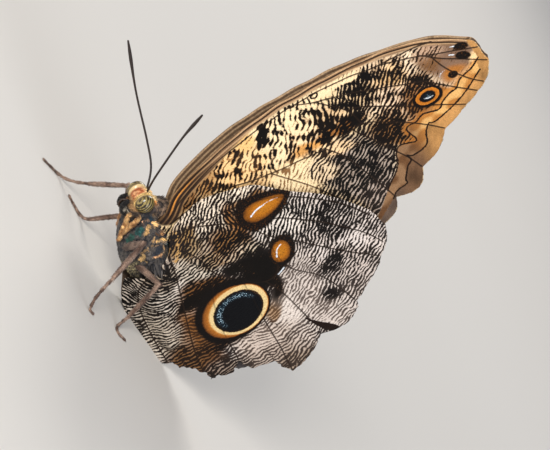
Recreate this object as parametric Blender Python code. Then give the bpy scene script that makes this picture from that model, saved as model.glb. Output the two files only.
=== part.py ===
# An owl butterfly at rest, wings closed over its back: a still, life-size model.
# Lengths are in millimetres and become metres as each mesh is made.
# The head points to -X, the animal's left side to -Y, and it stands on z = 0.

import math

import bmesh
import bpy
import numpy as np
from mathutils import Vector
from mathutils.geometry import delaunay_2d_cdt

MM = 0.001

# Clear space between neighbouring pieces.
GAP = 0.3

# The middle of the model's box in plan, seen from the middle of the thorax.
BOX_MIDDLE_X = 4.15
BOX_MIDDLE_Y = -3.2

# Thorax: a barrel pitched head up, its middle above the model's own zero.
THORAX_HEIGHT = 11.1
THORAX_PITCH = math.radians(24.0)
THORAX_FRONT = 7.9
THORAX_REAR = 8.0
THORAX_ROUNDING = 8.8
THORAX_HALF_HEIGHT = 5.3
THORAX_HALF_WIDTH = 4.1

# Abdomen: ten tapering segments that hang between the hindwings.
ABDOMEN_START = (7.75, 7.65)
ABDOMEN_END = (26.0, 4.5)
ABDOMEN_RADIUS = 3.0
ABDOMEN_SEGMENTS = 10

# Head, turned a little to the animal's left.
HEAD_CENTRE = Vector((-9.8, 0.0, 15.85))
HEAD_LEFT = Vector((1.2, -4.0, 1.1)).normalized()
HEAD_NOSE = Vector((-0.98, 0.0, 0.17))
HEAD_HALF_LENGTH = 2.35
HEAD_HALF_WIDTH = 1.95
HEAD_HALF_HEIGHT = 2.4
EYE_RADIUS = 2.0
EYE_DEPTH = 1.55
EYE_SPREAD = 2.15

# Feelers.
ANTENNA_RADIUS = 0.25
ANTENNA_CLUB = 0.42

# Wings: one sheet each, with raised veins.
WING_THICKNESS = 0.5
WING_SPREAD = 45.0
WING_FLARE = 2.0
WING_REST = 0.25
COSTA_FLARE = 1.1
HINDWING_CLEARANCE = 1.05
BODY_CLEARANCE = 0.4
VEIN_RISE = 0.15
VEIN_HALF_WIDTH = 0.4
VEIN_STEP = 3.2
GRID_STEP = 4.2
FOREWING_REAR_ROOT = (1.8, 17.2)
FOREWING_REAR_TIP = (22.4, 50.5)


# Shared shape helpers

def smooth(t):
    t = np.clip(t, 0.0, 1.0)
    return t * t * (3.0 - 2.0 * t)


def smooth_path(points, step):
    """Evenly spaced points on a curve through all the given points."""
    knots = [np.array(p, float) for p in points]
    knots = [2 * knots[0] - knots[1]] + knots + [2 * knots[-1] - knots[-2]]
    dense = []
    for before, start, end, after in zip(knots, knots[1:], knots[2:], knots[3:]):
        for t in np.linspace(0.0, 1.0, 16, endpoint=False):
            dense.append(0.5 * (2 * start + (end - before) * t
                                + (2 * before - 5 * start + 4 * end - after) * t ** 2
                                + (3 * start - before - 3 * end + after) * t ** 3))
    dense.append(knots[-2])
    dense = np.array(dense)
    run = np.concatenate([[0.0], np.cumsum(np.linalg.norm(np.diff(dense, axis=0), axis=1))])
    count = max(2, int(round(run[-1] / step)) + 1)
    wanted = np.linspace(0.0, run[-1], count)
    return np.stack([np.interp(wanted, run, dense[:, k]) for k in range(dense.shape[1])], axis=1)


def scalloped(ends, bulges, steps=4):
    """An outline whose stretches between vein ends bulge outwards, walked clockwise."""
    points = []
    for (x0, z0), (x1, z1), bulge in zip(ends, ends[1:], bulges):
        chord = math.hypot(x1 - x0, z1 - z0)
        for i in range(steps):
            t = i / steps
            reach = bulge * math.sin(math.pi * t)
            points.append((x0 + (x1 - x0) * t - (z1 - z0) / chord * reach,
                           z0 + (z1 - z0) * t + (x1 - x0) / chord * reach))
    points.append(ends[-1])
    return points


def finish_material(name, colour, roughness):
    material = bpy.data.materials.new(name)
    material.use_nodes = True
    shader = material.node_tree.nodes["Principled BSDF"]
    shader.inputs["Base Color"].default_value = (*colour, 1.0)
    shader.inputs["Roughness"].default_value = roughness
    material.diffuse_color = (*colour, 1.0)
    return material


def add_piece(name, points, faces, colour, roughness=0.7):
    """Makes one closed piece, with its faces turned outwards."""
    mesh = bpy.data.meshes.new(name)
    mesh.from_pydata([tuple(MM * float(c) for c in p) for p in points], [], faces)
    shell = bmesh.new()
    shell.from_mesh(mesh)
    bmesh.ops.recalc_face_normals(shell, faces=shell.faces)
    shell.to_mesh(mesh)
    shell.free()
    mesh.shade_smooth()
    mesh.materials.append(finish_material(name, colour, roughness))
    piece = bpy.data.objects.new(name, mesh)
    bpy.context.scene.collection.objects.link(piece)
    piece.parent = bpy.data.objects["butterfly"]
    return piece


def skin_rings(rings):
    """Faces of a closed skin over equal rings of points, flat at both ends."""
    count = len(rings[0])
    points = [p for ring in rings for p in ring]
    faces = []
    for row in range(len(rings) - 1):
        for i in range(count):
            j = (i + 1) % count
            a = row * count
            faces.append((a + i, a + j, a + count + j, a + count + i))
    faces.append(tuple(range(count)))
    faces.append(tuple(range(len(points) - count, len(points))))
    return points, faces


def ring_round(centre, side, up, half_side, half_up, count, power=2.0):
    """Points on a rounded section: an ellipse at power 2, boxier above it."""
    ring = []
    for i in range(count):
        angle = 2 * math.pi * (i + 0.5) / count
        across = math.copysign(abs(math.cos(angle)) ** (2 / power), math.cos(angle))
        along = math.copysign(abs(math.sin(angle)) ** (2 / power), math.sin(angle))
        ring.append(centre + side * (half_side * across) + up * (half_up * along))
    return ring


def tube_rings(path, radii, sides, lowest=None):
    """Rings across a path, carried along it without twist."""
    path = [Vector(p) for p in path]
    side = None
    rings = []
    for i, point in enumerate(path):
        along = (path[min(i + 1, len(path) - 1)] - path[max(i - 1, 0)]).normalized()
        if side is None:
            side = along.cross(Vector((0.0, 0.0, 1.0)))
            if side.length < 0.1:
                side = Vector((0.0, 1.0, 0.0))
        side = (side - along * side.dot(along)).normalized()
        ring = ring_round(point, side, side.cross(along), radii[i], radii[i], sides)
        if lowest is not None:
            ring = [Vector((p.x, p.y, max(p.z, lowest))) for p in ring]
        rings.append(ring)
    return rings


def taper(values, count):
    """Spreads a few radii evenly over a path's points."""
    return np.interp(np.linspace(0.0, 1.0, count), np.linspace(0.0, 1.0, len(values)), values)


def mirrored(points):
    return [(x, -y, z) for x, y, z in points]


def cut_away(piece, cutter):
    """Takes the cutter's space out of a piece and keeps its largest remaining body."""
    boolean = piece.modifiers.new("clearance", "BOOLEAN")
    boolean.operation = "DIFFERENCE"
    boolean.solver = "EXACT"
    boolean.object = cutter
    bpy.context.view_layer.update()
    graph = bpy.context.evaluated_depsgraph_get()
    result = bpy.data.meshes.new_from_object(piece.evaluated_get(graph))
    piece.modifiers.clear()
    old = piece.data
    piece.data = result
    bpy.data.meshes.remove(old)
    keep_largest(result)
    result.name = piece.name


def keep_largest(mesh):
    shell = bmesh.new()
    shell.from_mesh(mesh)
    bmesh.ops.remove_doubles(shell, verts=shell.verts, dist=1e-6)
    groups = []
    waiting = set(shell.verts)
    while waiting:
        seed = waiting.pop()
        group = {seed}
        border = [seed]
        while border:
            for edge in border.pop().link_edges:
                for vertex in edge.verts:
                    if vertex in waiting:
                        waiting.remove(vertex)
                        group.add(vertex)
                        border.append(vertex)
        groups.append(group)
    groups.sort(key=len)
    for group in groups[:-1]:
        bmesh.ops.delete(shell, geom=list(group), context="VERTS")
    shell.to_mesh(mesh)
    shell.free()


def as_cutter(piece):
    piece.hide_render = True
    piece.display_type = "WIRE"
    return piece


# Thorax and abdomen

def thorax_rings(extra):
    nose = Vector((-math.cos(THORAX_PITCH), 0.0, math.sin(THORAX_PITCH)))
    up = Vector((math.sin(THORAX_PITCH), 0.0, math.cos(THORAX_PITCH)))
    side = Vector((0.0, 1.0, 0.0))
    middle = Vector((0.0, 0.0, THORAX_HEIGHT))
    rings = []
    for s in np.linspace(THORAX_FRONT + extra, -THORAX_REAR - extra, 17):
        t = abs(s) / (THORAX_ROUNDING + extra)
        fullness = (1.0 - t ** 2.5) ** 0.58
        rings.append(ring_round(middle + nose * float(s), side, up,
                                THORAX_HALF_WIDTH * fullness + extra,
                                THORAX_HALF_HEIGHT * fullness + extra, 24, 2.3))
    return rings


def make_thorax():
    points, faces = skin_rings(thorax_rings(0.0))
    add_piece("thorax", points, faces, (0.22, 0.20, 0.17), 0.85)
    points, faces = skin_rings(thorax_rings(GAP))
    return as_cutter(add_piece("thorax_clearance", points, faces, (1, 0, 0)))


def make_abdomen(thorax_clearance):
    start = Vector((ABDOMEN_START[0], 0.0, ABDOMEN_START[1]))
    end = Vector((ABDOMEN_END[0], 0.0, ABDOMEN_END[1]))
    along = (end - start).normalized()
    side = Vector((0.0, 1.0, 0.0))
    up = side.cross(along) * -1.0
    rings = []
    for i in range(ABDOMEN_SEGMENTS * 3 + 1):
        t = i / (ABDOMEN_SEGMENTS * 3)
        width = 0.80 + 0.28 * math.sin(math.pi * min(t / 0.55, 1.0) / 2) - 0.85 * t ** 1.5
        groove = 0.94 if i % 3 == 0 and 0 < i else 1.0
        radius = ABDOMEN_RADIUS * width * groove
        sag = Vector((0.0, 0.0, 0.5 * math.sin(math.pi * t)))
        rings.append(ring_round(start + (end - start) * t + sag, side, up, radius * 0.9, radius, 18))
    points, faces = skin_rings(rings)
    cut_away(add_piece("abdomen", points, faces, (0.30, 0.25, 0.19), 0.85), thorax_clearance)


# Head

def head_point(forward, left, up):
    nose = (HEAD_NOSE - HEAD_LEFT * HEAD_NOSE.dot(HEAD_LEFT)).normalized()
    crown = HEAD_LEFT.cross(nose) * -1.0
    if crown.z < 0:
        crown = -crown
    return HEAD_CENTRE + nose * forward + HEAD_LEFT * left + crown * up


def head_rings(extra):
    rings = []
    for i in range(13):
        turn = math.pi * (i + 0.5) / 13
        forward = math.cos(turn)
        fullness = math.sin(turn) ** 0.9
        ring = []
        for k in range(20):
            angle = 2 * math.pi * k / 20
            ring.append(head_point((HEAD_HALF_LENGTH + extra) * forward,
                                   (HEAD_HALF_WIDTH + extra) * fullness * math.cos(angle),
                                   (HEAD_HALF_HEIGHT + extra) * fullness * math.sin(angle)))
        rings.append(ring)
    return rings


def eye_rings(way, extra):
    rings = []
    for i in range(11):
        turn = math.pi * (i + 0.5) / 11
        ring = []
        for k in range(20):
            angle = 2 * math.pi * k / 20
            ring.append(head_point((EYE_RADIUS + extra) * math.sin(turn) * math.cos(angle),
                                   way * EYE_SPREAD + (EYE_DEPTH + extra) * math.cos(turn),
                                   (EYE_RADIUS + extra) * math.sin(turn) * math.sin(angle)))
        rings.append(ring)
    return rings


def make_head(thorax_clearance):
    points, faces = skin_rings(head_rings(0.0))
    head = add_piece("head", points, faces, (0.55, 0.38, 0.24), 0.8)
    for word, way in (("left", 1), ("right", -1)):
        points, faces = skin_rings(eye_rings(way, 0.0))
        add_piece("eye_" + word, points, faces, (0.30, 0.26, 0.10), 0.25)
        points, faces = skin_rings(eye_rings(way, GAP))
        socket = as_cutter(add_piece("socket_" + word, points, faces, (1, 0, 0)))
        cut_away(head, socket)
    cut_away(head, thorax_clearance)
    points, faces = skin_rings(head_rings(GAP))
    return as_cutter(add_piece("head_clearance", points, faces, (1, 0, 0)))


def make_palps(clearances):
    bends = [(-8.2, 1.3, 13.0), (-8.9, 1.35, 12.0), (-10.1, 1.3, 11.8), (-11.1, 1.2, 12.5), (-11.5, 1.1, 13.4)]
    for word, way, lower in (("left", -1, 0.0), ("right", 1, 0.4)):
        path = smooth_path([(x, way * y, z - lower) for x, y, z in bends], 0.45)
        radii = taper([0.5, 0.66, 0.62, 0.52, 0.3], len(path))
        points, faces = skin_rings(tube_rings(path, radii, 10))
        palp = add_piece("palp_" + word, points, faces, (0.05, 0.045, 0.04), 0.35)
        for clearance in clearances:
            cut_away(palp, clearance)


def make_proboscis(clearances):
    path = [(-9.9, 0.0, 14.4)]
    for i in range(12):
        turn = math.radians(60 + 25 * i)
        reach = 1.25 - 0.03 * i
        path.append((-9.9 + reach * math.cos(turn), 0.0, 12.2 + reach * math.sin(turn)))
    radii = taper([0.26, 0.26, 0.25], len(path))
    points, faces = skin_rings(tube_rings(path, radii, 8))
    coil = add_piece("proboscis", points, faces, (0.20, 0.12, 0.07), 0.4)
    for clearance in clearances:
        cut_away(coil, clearance)


def make_antennae(head_clearance):
    left = [(-10.3, -0.5, 17.2), (-11.15, -0.6, 18.3), (-13.9, -2.0, 21.1), (-20.3, -6.3, 27.9),
            (-24.7, -9.2, 32.9), (-29.0, -12.2, 38.6)]
    right = [(-10.4, 0.5, 16.9), (-11.1, 0.6, 18.1), (-13.8, 2.6, 20.4), (-18.2, 5.2, 21.9),
             (-27.0, 9.1, 24.3), (-36.4, 12.0, 27.7)]
    for word, bends in (("left", left), ("right", right)):
        path = smooth_path(bends, 1.5)
        radii = taper([1.0] * 12 + [1.1, 1.35, ANTENNA_CLUB / ANTENNA_RADIUS, 1.5, 0.9], len(path))
        points, faces = skin_rings(tube_rings(path, radii * ANTENNA_RADIUS, 8))
        feeler = add_piece("antenna_" + word, points, faces, (0.03, 0.02, 0.015), 0.5)
        cut_away(feeler, head_clearance)


# Legs

def mitred(rings, path, index, normal, shift):
    """Slides one end ring along its tube onto a slanting plane, so that two lengths meet face to face."""
    ring = rings[index]
    point = Vector(path[index]) + normal * shift
    inner = 1 if index == 0 else -2
    along = (Vector(path[index]) - Vector(path[inner])).normalized()
    rings[index] = [p + along * ((point - p).dot(normal) / along.dot(normal)) for p in ring]


def make_leg(name, hip, knee, ankle, toes, thickness, thorax_clearance):
    hip, knee, ankle = Vector(hip), Vector(knee), Vector(ankle)
    toes = [Vector(p) for p in toes]
    thigh = (knee - hip).normalized()
    shin = (ankle - knee).normalized()
    foot = (toes[0] - ankle).normalized()
    bend = (thigh + shin).normalized()
    heel = (shin + foot).normalized()

    path = [hip.lerp(knee, t) for t in (0.0, 0.25, 0.5, 0.7, 0.85, 1.0)]
    rings = tube_rings(path, taper([0.76, 0.86, 0.82, 0.72, 0.62, 0.54], 6) * thickness, 10)
    mitred(rings, path, -1, bend, -GAP / 2)
    points, faces = skin_rings(rings)
    cut_away(add_piece(name + "_femur", points, faces, (0.36, 0.29, 0.24)), thorax_clearance)

    path = [knee.lerp(ankle, t) for t in (0.0, 0.16, 0.4, 0.65, 0.86, 1.0)]
    rings = tube_rings(path, taper([0.46, 0.5, 0.58, 0.6, 0.52, 0.44], 6) * thickness, 10)
    mitred(rings, path, 0, bend, GAP / 2)
    mitred(rings, path, -1, heel, -GAP / 2)
    points, faces = skin_rings(rings)
    add_piece(name + "_tibia", points, faces, (0.36, 0.29, 0.24))

    path = smooth_path([ankle] + toes, 0.9)
    rings = tube_rings(path, taper([0.36, 0.36, 0.32, 0.3, 0.26], len(path)) * thickness, 8, 0.0)
    mitred(rings, path, 0, heel, GAP / 2)
    points, faces = skin_rings(rings)
    add_piece(name + "_tarsus", points, faces, (0.28, 0.22, 0.18))


def make_legs(thorax_clearance):
    make_leg("leg_mid_left", (-1.2, -0.9, 6.9), (-4.8, -8.0, 13.5), (-5.2, -15.0, 6.9),
             [(-5.1, -18.4, 2.9), (-3.6, -19.0, 0.6), (-2.9, -19.0, 0.22), (-2.05, -18.8, 0.2)],
             1.0, thorax_clearance)
    make_leg("leg_hind_left", (1.2, -0.8, 6.9), (6.1, -7.5, 11.3), (9.75, -8.3, 2.25),
             [(9.0, -10.4, 0.65), (8.5, -12.1, 0.22), (9.6, -12.8, 0.2), (11.8, -12.0, 0.2)],
             0.95, thorax_clearance)
    make_leg("leg_mid_right", (-1.2, 0.9, 6.9), (-8.2, 8.0, 12.65), (-9.95, 12.0, 4.7),
             [(-11.2, 12.5, 2.6), (-12.8, 12.5, 1.2), (-14.8, 12.5, 0.35), (-18.8, 11.1, 0.18),
              (-20.6, 10.4, 0.18)], 0.9, thorax_clearance)
    make_leg("leg_hind_right", (1.2, 0.8, 6.9), (-1.0, 7.6, 12.0), (-4.3, 8.5, 1.9),
             [(-5.0, 8.8, 0.75), (-6.6, 9.3, 0.25), (-8.6, 10.0, 0.2), (-10.0, 10.6, 0.2)],
             0.95, thorax_clearance)


def make_forelegs(clearances):
    bends = [(-6.1, -3.7, 9.9), (-6.7, -3.7, 11.1), (-7.3, -3.7, 13.0), (-7.7, -3.5, 14.1), (-8.5, -3.2, 13.9),
             (-8.7, -2.75, 12.6), (-7.2, -2.75, 10.9), (-5.3, -2.8, 8.9), (-4.4, -2.4, 8.0)]
    for word, way in (("left", 1), ("right", -1)):
        path = smooth_path(bends if way > 0 else mirrored(bends), 0.6)
        radii = taper([0.36, 0.42, 0.44, 0.4, 0.4, 0.42, 0.42, 0.4, 0.34], len(path))
        points, faces = skin_rings(tube_rings(path, radii, 10))
        leg = add_piece("foreleg_" + word, points, faces, (0.60, 0.42, 0.22), 0.85)
        for clearance in clearances:
            cut_away(leg, clearance)


# Wings

def wing_gap(x, z):
    """Distance of a forewing's inner face from the middle plane."""
    reach = np.minimum(np.hypot(x + 1.5, z - 17.5), WING_SPREAD)
    costa = smooth((-4.0 - x) / 11.0) * (1.0 - smooth((z - 30.0) / 50.0))
    return WING_REST + WING_FLARE * (1.0 - reach / WING_SPREAD) ** 2 + COSTA_FLARE * costa


def body_tent(x, z, start, end):
    """A soft tent over one length of the body: start and end are (x, z, half height, half width)."""
    dx = end[0] - start[0]
    dz = end[1] - start[1]
    t = np.clip(((x - start[0]) * dx + (z - start[1]) * dz) / (dx * dx + dz * dz), 0.0, 1.0)
    away = np.hypot(x - (start[0] + t * dx), z - (start[1] + t * dz))
    height = start[2] + (end[2] - start[2]) * t
    width = start[3] + (end[3] - start[3]) * t
    return width * np.cos(np.minimum(1.0, away / (1.6 * height)) * math.pi / 2)


def forewing_cover(x, z):
    """One where a forewing lies under the hindwing, nothing well beyond the forewing's rear edge."""
    run = np.array(FOREWING_REAR_TIP) - np.array(FOREWING_REAR_ROOT)
    across = (x - FOREWING_REAR_ROOT[0]) * run[1] - (z - FOREWING_REAR_ROOT[1]) * run[0]
    beyond = across / np.linalg.norm(run)
    return 1.0 - smooth((beyond - 1.0) / 11.0)


def hindwing_gap(x, z):
    """The hindwings lie outside the forewings, bulge round the body and close up behind."""
    over_wing = wing_gap(x, z) + HINDWING_CLEARANCE * forewing_cover(x, z)
    chest = body_tent(x, z, (0.0, 11.1, 5.0, 4.2), (7.0, 8.6, 4.0, 3.6))
    belly = body_tent(x, z, (7.0, 8.6, 3.8, 3.6), (25.0, 4.2, 1.4, 1.3))
    body = np.maximum(chest, belly)
    over_body = body + BODY_CLEARANCE
    return 0.5 * (over_wing + over_body + np.sqrt((over_wing - over_body) ** 2 + 0.075 * body))


def inside_outline(points, outline):
    inside = np.zeros(len(points), bool)
    for (x0, z0), (x1, z1) in zip(outline, np.roll(outline, -1, axis=0)):
        crosses = (z0 > points[:, 1]) != (z1 > points[:, 1])
        where = x0 + (points[:, 1] - z0) * (x1 - x0) / np.where(z1 == z0, 1e-9, z1 - z0)
        inside ^= crosses & (points[:, 0] < where)
    return inside


def distance_to(points, path):
    nearest = np.full(len(points), np.inf)
    for start, end in zip(path[:-1], path[1:]):
        run = end - start
        t = np.clip(((points - start) @ run) / max(run @ run, 1e-12), 0.0, 1.0)
        nearest = np.minimum(nearest, np.linalg.norm(points - start - t[:, None] * run, axis=1))
    return nearest


def sheet_layout(outline, veins, folds):
    """Flat triangles for one wing face: its outline, a crest and two feet along each vein, a loose grid."""
    rim = np.vstack([outline, outline[:1]])
    points = [tuple(p) for p in outline]
    edges = [(i, (i + 1) % len(outline)) for i in range(len(outline))]
    for path in veins:
        run = np.gradient(path, axis=0)
        across = np.stack([-run[:, 1], run[:, 0]], axis=1) / np.linalg.norm(run, axis=1)[:, None]
        for offset in (0.0, -VEIN_HALF_WIDTH, VEIN_HALF_WIDTH):
            line = path + across * offset
            clear = inside_outline(line, outline) & (distance_to(line, rim) > 0.3)
            last = None
            for p, kept in zip(line, clear):
                if not kept:
                    last = None
                    continue
                points.append(tuple(p))
                if last is not None:
                    edges.append((last, len(points) - 1))
                last = len(points) - 1
    low, high = outline.min(axis=0), outline.max(axis=0)
    grid = []
    for row, z in enumerate(np.arange(low[1], high[1], GRID_STEP * 0.87)):
        for x in np.arange(low[0] + (row % 2) * GRID_STEP / 2, high[0], GRID_STEP):
            grid.append((x, z))
    grid = np.array(grid)
    clear = inside_outline(grid, outline) & (distance_to(grid, rim) > 1.2)
    for path in [*veins, *folds]:
        clear &= distance_to(grid, path) > 1.3
    for path in folds:
        apart = np.full(len(path), True)
        for vein in veins:
            apart &= distance_to(path, vein) > 0.8
        points += [tuple(p) for p in path[apart & (distance_to(path, rim) > 0.8)]]
    points += [tuple(p) for p in grid[clear]]
    flat, _, triangles, _, _, _ = delaunay_2d_cdt([Vector(p) for p in points], edges, [], 0, 1e-3)
    flat = np.array([tuple(p) for p in flat])
    triangles = np.array([tuple(t) for t in triangles])
    triangles = triangles[inside_outline(flat[triangles].mean(axis=1), outline)]
    used, renumbered = np.unique(triangles, return_inverse=True)
    return flat[used], renumbered.reshape(-1, 3)


def wing_solid(name, way, outline, veins, folds, inner_gap, colour):
    """Gives the flat layout its curve, its thickness and a rim. Both faces share the same triangles."""
    outline = np.array(outline)
    flat, triangles = sheet_layout(outline, veins, folds)
    crest = np.full(len(flat), np.inf)
    for path in veins:
        crest = np.minimum(crest, distance_to(flat, path))
    rise = VEIN_RISE * np.clip(1.0 - crest / VEIN_HALF_WIDTH, 0.0, 1.0)
    inner = inner_gap(flat[:, 0], flat[:, 1])
    points = []
    for (x, z), y in zip(flat, inner + WING_THICKNESS + rise):
        points.append((x, way * y, z))
    for (x, z), y in zip(flat, inner - rise * 0.6):
        points.append((x, way * y, z))
    count = len(flat)
    faces = [tuple(t) for t in triangles] + [tuple(t[::-1] + count) for t in triangles]
    owners = {}
    for a, b, c in triangles:
        for edge in ((a, b), (b, c), (c, a)):
            owners[edge] = True
    for a, b in owners:
        if (b, a) not in owners:
            faces.append((b, a, a + count))
            faces.append((b, a + count, b + count))
    return add_piece(name, points, faces, colour)


def forewing_outline():
    costa = smooth_path([(-5.3, 18.9), (-8.5, 22.4), (-11.3, 28.2), (-14.3, 36.3), (-16.2, 44.2),
                         (-17.4, 52.2), (-18.2, 64.1), (-17.8, 72.0), (-16.5, 79.9), (-14.6, 84.3),
                         (-12.3, 88.0)], 3.0)
    margin = scalloped([(-12.3, 88.0), (-9.9, 89.5), (-6.3, 90.0), (-1.9, 87.4), (-0.4, 85.3), (1.5, 82.0),
                        (4.7, 76.0), (11.0, 68.2), (14.9, 60.5), (19.8, 55.6), FOREWING_REAR_TIP],
                       [0.5, 0.35, 0.6, 0.2, 0.2, 0.25, 0.9, 2.5, 1.2, 1.0])
    rear = smooth_path([FOREWING_REAR_TIP, (15.0, 40.5), (8.5, 30.0), (3.5, 22.0), FOREWING_REAR_ROOT], 3.5)
    root = [(0.2, 14.6), (-3.6, 15.4), (-5.0, 17.2)]
    return [*costa[:-1], *margin[:-1], *rear, *root]


def forewing_veins():
    paths = [
        [(-4.8, 19.2), (-8.1, 22.9), (-10.8, 28.4), (-13.8, 36.4), (-15.7, 44.3), (-16.9, 52.2),
         (-17.7, 64.0), (-17.3, 72.0), (-16.0, 79.7), (-14.1, 84.0), (-12.1, 87.2)],
        [(-3.6, 18.6), (-7.0, 23.8), (-10.7, 31.6), (-13.2, 40.0), (-14.9, 48.2), (-15.9, 57.0),
         (-16.0, 64.0), (-15.4, 70.0), (-15.7, 77.0), (-15.4, 81.9)],
        [(-15.4, 70.0), (-14.1, 76.5), (-12.2, 82.0), (-9.9, 89.3)],
        [(-13.6, 78.6), (-10.2, 83.0), (-6.3, 89.7)],
        [(-12.9, 80.2), (-8.3, 81.9), (-4.2, 84.7), (-2.0, 87.1)],
        [(-15.4, 52.6), (-14.0, 56.1), (-12.7, 61.7), (-10.4, 68.9), (-7.9, 75.8), (-5.2, 79.5), (-0.6, 85.1)],
        [(-14.0, 56.1), (-8.9, 60.8), (-4.3, 62.0)],
        [(-8.9, 60.8), (-8.0, 64.4), (-4.1, 71.3), (-1.6, 76.4), (1.3, 81.8)],
        [(-2.7, 18.6), (-4.1, 26.0), (-4.3, 32.0), (-3.2, 38.0), (-2.8, 45.0), (-2.9, 53.0), (-4.3, 62.0),
         (-1.6, 68.2), (1.3, 72.4), (4.5, 75.8)],
        [(-3.7, 60.0), (0.5, 62.6), (6.7, 66.3), (10.7, 68.0)],
        [(-2.9, 53.0), (1.6, 56.1), (8.0, 58.3), (14.6, 60.4)],
        [(-2.9, 41.3), (4.5, 47.3), (12.5, 52.0), (19.5, 55.4)],
        [(-1.4, 18.4), (4.0, 28.0), (12.5, 41.2), (21.6, 50.9)],
    ]
    return [smooth_path(path, VEIN_STEP) for path in paths]


def hindwing_outline(torn):
    costa = smooth_path([(-2.6, 19.4), (-4.8, 24.6), (-5.1, 27.9), (-3.6, 35.1), (-2.5, 37.8), (2.0, 42.5),
                         (6.5, 48.3), (12.6, 53.3), (15.4, 55.0), (19.8, 55.7)], 2.8)
    margin = scalloped([(19.8, 55.7), (26.0, 51.8), (31.6, 46.3), (34.9, 42.1), (36.4, 41.9), (39.4, 34.8),
                        (38.8, 32.1), (44.8, 22.6)],
                       [0.7, 0.5, 0.1, 0.05, 0.9, 0.0, 0.95])
    notch = [(36.7, 14.2)] if torn else [(39.9, 14.0)]
    lower = [(42.6, 21.1), (40.5, 20.6), (40.2, 17.8), (39.7, 15.5), *notch, (38.9, 11.8), (38.7, 10.2),
             (37.8, 8.4), (38.2, 6.9), (36.2, 7.1), (33.8, 4.8), (32.4, 3.7), (32.3, 2.6), (30.2, 2.1),
             (29.7, 0.6), (28.8, 0.0)]
    floor = [(x, 0.0) for x in np.linspace(25.0, 13.2, 5)]
    front = [(10.4, 0.7), (7.6, 2.4), (4.8, 4.6), (5.4, 8.0), (5.4, 11.4), (3.8, 14.6), (0.8, 16.6),
             (-1.4, 17.6)]
    return [*costa[:-1], *margin, *lower, *floor, *front]


def hindwing_veins():
    paths = [
        [(0.5, 17.7), (-0.3, 22.0), (-0.3, 27.0), (-0.2, 31.0), (0.5, 35.0), (1.8, 39.4), (4.5, 44.0),
         (9.9, 50.2), (15.7, 54.4)],
        [(-0.3, 22.4), (2.2, 27.8), (4.7, 31.7), (5.8, 35.0), (7.3, 38.8), (11.9, 44.6), (18.3, 50.8),
         (22.9, 53.6)],
        [(4.7, 31.7), (9.2, 34.0), (13.2, 38.0), (19.3, 44.0), (25.7, 51.3)],
        [(9.2, 34.0), (14.7, 33.6), (19.8, 34.5), (24.3, 38.3), (28.6, 40.4), (34.0, 42.1)],
        [(14.7, 33.6), (19.2, 31.7), (20.6, 28.4), (17.9, 24.4), (12.7, 20.4), (8.0, 19.8), (3.5, 17.9)],
        [(20.6, 28.4), (24.7, 29.9), (30.7, 31.2), (35.1, 32.2), (38.9, 34.1)],
        [(17.9, 24.4), (23.7, 24.1), (30.7, 23.6), (37.6, 23.4), (44.2, 22.8)],
        [(12.7, 20.4), (16.1, 18.6), (20.7, 16.6), (28.7, 14.9), (36.2, 14.4)],
        [(3.9, 15.0), (10.6, 13.2), (20.7, 10.1), (29.7, 7.5), (35.4, 6.6)],
        [(5.2, 9.6), (8.4, 5.6), (14.6, 2.9), (22.7, 1.7), (29.4, 1.3)],
    ]
    return [smooth_path(path, VEIN_STEP) for path in paths]


def make_wings(thorax_clearance):
    for word, way in (("left", -1), ("right", 1)):
        forewing = wing_solid("forewing_" + word, way, forewing_outline(), forewing_veins(), [], wing_gap,
                              (0.55, 0.45, 0.30))
        cut_away(forewing, thorax_clearance)
        over_belly = smooth_path([(8.5, 8.2), (16.0, 6.4), (24.5, 4.4)], 1.6)
        wing_solid("hindwing_" + word, way, hindwing_outline(word == "left"), hindwing_veins(), [over_belly],
                   hindwing_gap, (0.42, 0.36, 0.30))


def build():
    for old in list(bpy.data.objects):
        bpy.data.objects.remove(old, do_unlink=True)
    butterfly = bpy.data.objects.new("butterfly", None)
    butterfly.location = (-MM * BOX_MIDDLE_X, -MM * BOX_MIDDLE_Y, 0.0)
    bpy.context.scene.collection.objects.link(butterfly)
    thorax_clearance = make_thorax()
    make_abdomen(thorax_clearance)
    head_clearance = make_head(thorax_clearance)
    make_palps((head_clearance, thorax_clearance))
    make_proboscis((head_clearance, thorax_clearance))
    make_antennae(head_clearance)
    make_legs(thorax_clearance)
    make_forelegs((thorax_clearance, head_clearance))
    make_wings(thorax_clearance)


build()
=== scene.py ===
import math

import bmesh
import bpy
import numpy as np
from mathutils import Matrix, Vector
from mathutils.geometry import delaunay_2d_cdt


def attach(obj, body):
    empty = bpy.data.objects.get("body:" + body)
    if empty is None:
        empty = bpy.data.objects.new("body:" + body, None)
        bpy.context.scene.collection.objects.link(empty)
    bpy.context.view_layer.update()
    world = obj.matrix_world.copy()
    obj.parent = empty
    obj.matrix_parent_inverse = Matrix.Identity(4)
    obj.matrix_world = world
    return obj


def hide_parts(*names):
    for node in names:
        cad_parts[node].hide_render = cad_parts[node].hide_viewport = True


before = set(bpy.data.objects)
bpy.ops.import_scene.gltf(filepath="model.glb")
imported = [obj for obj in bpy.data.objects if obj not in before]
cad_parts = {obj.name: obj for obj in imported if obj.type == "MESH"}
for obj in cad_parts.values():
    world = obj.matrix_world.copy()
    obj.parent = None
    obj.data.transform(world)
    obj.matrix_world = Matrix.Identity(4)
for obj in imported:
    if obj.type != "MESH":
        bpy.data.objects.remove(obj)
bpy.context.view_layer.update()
print("frame loaded")

# Places below are millimetres from the point on the floor under the middle of the thorax.
# The head points to -X and the animal's left side, which the camera sees, to -Y.
mm = 0.001
standing = dict(middleX=4.15, middleY=-3.2)  # where the frame's origin lies

# Colours used in several places, as a paint chart gives them, 0 to 255.
# the last of these is the pale blue white of painted glints
paints = dict(ink=(17, 12, 10), pupil=(9, 10, 14), pearl=(235, 243, 252))


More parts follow.
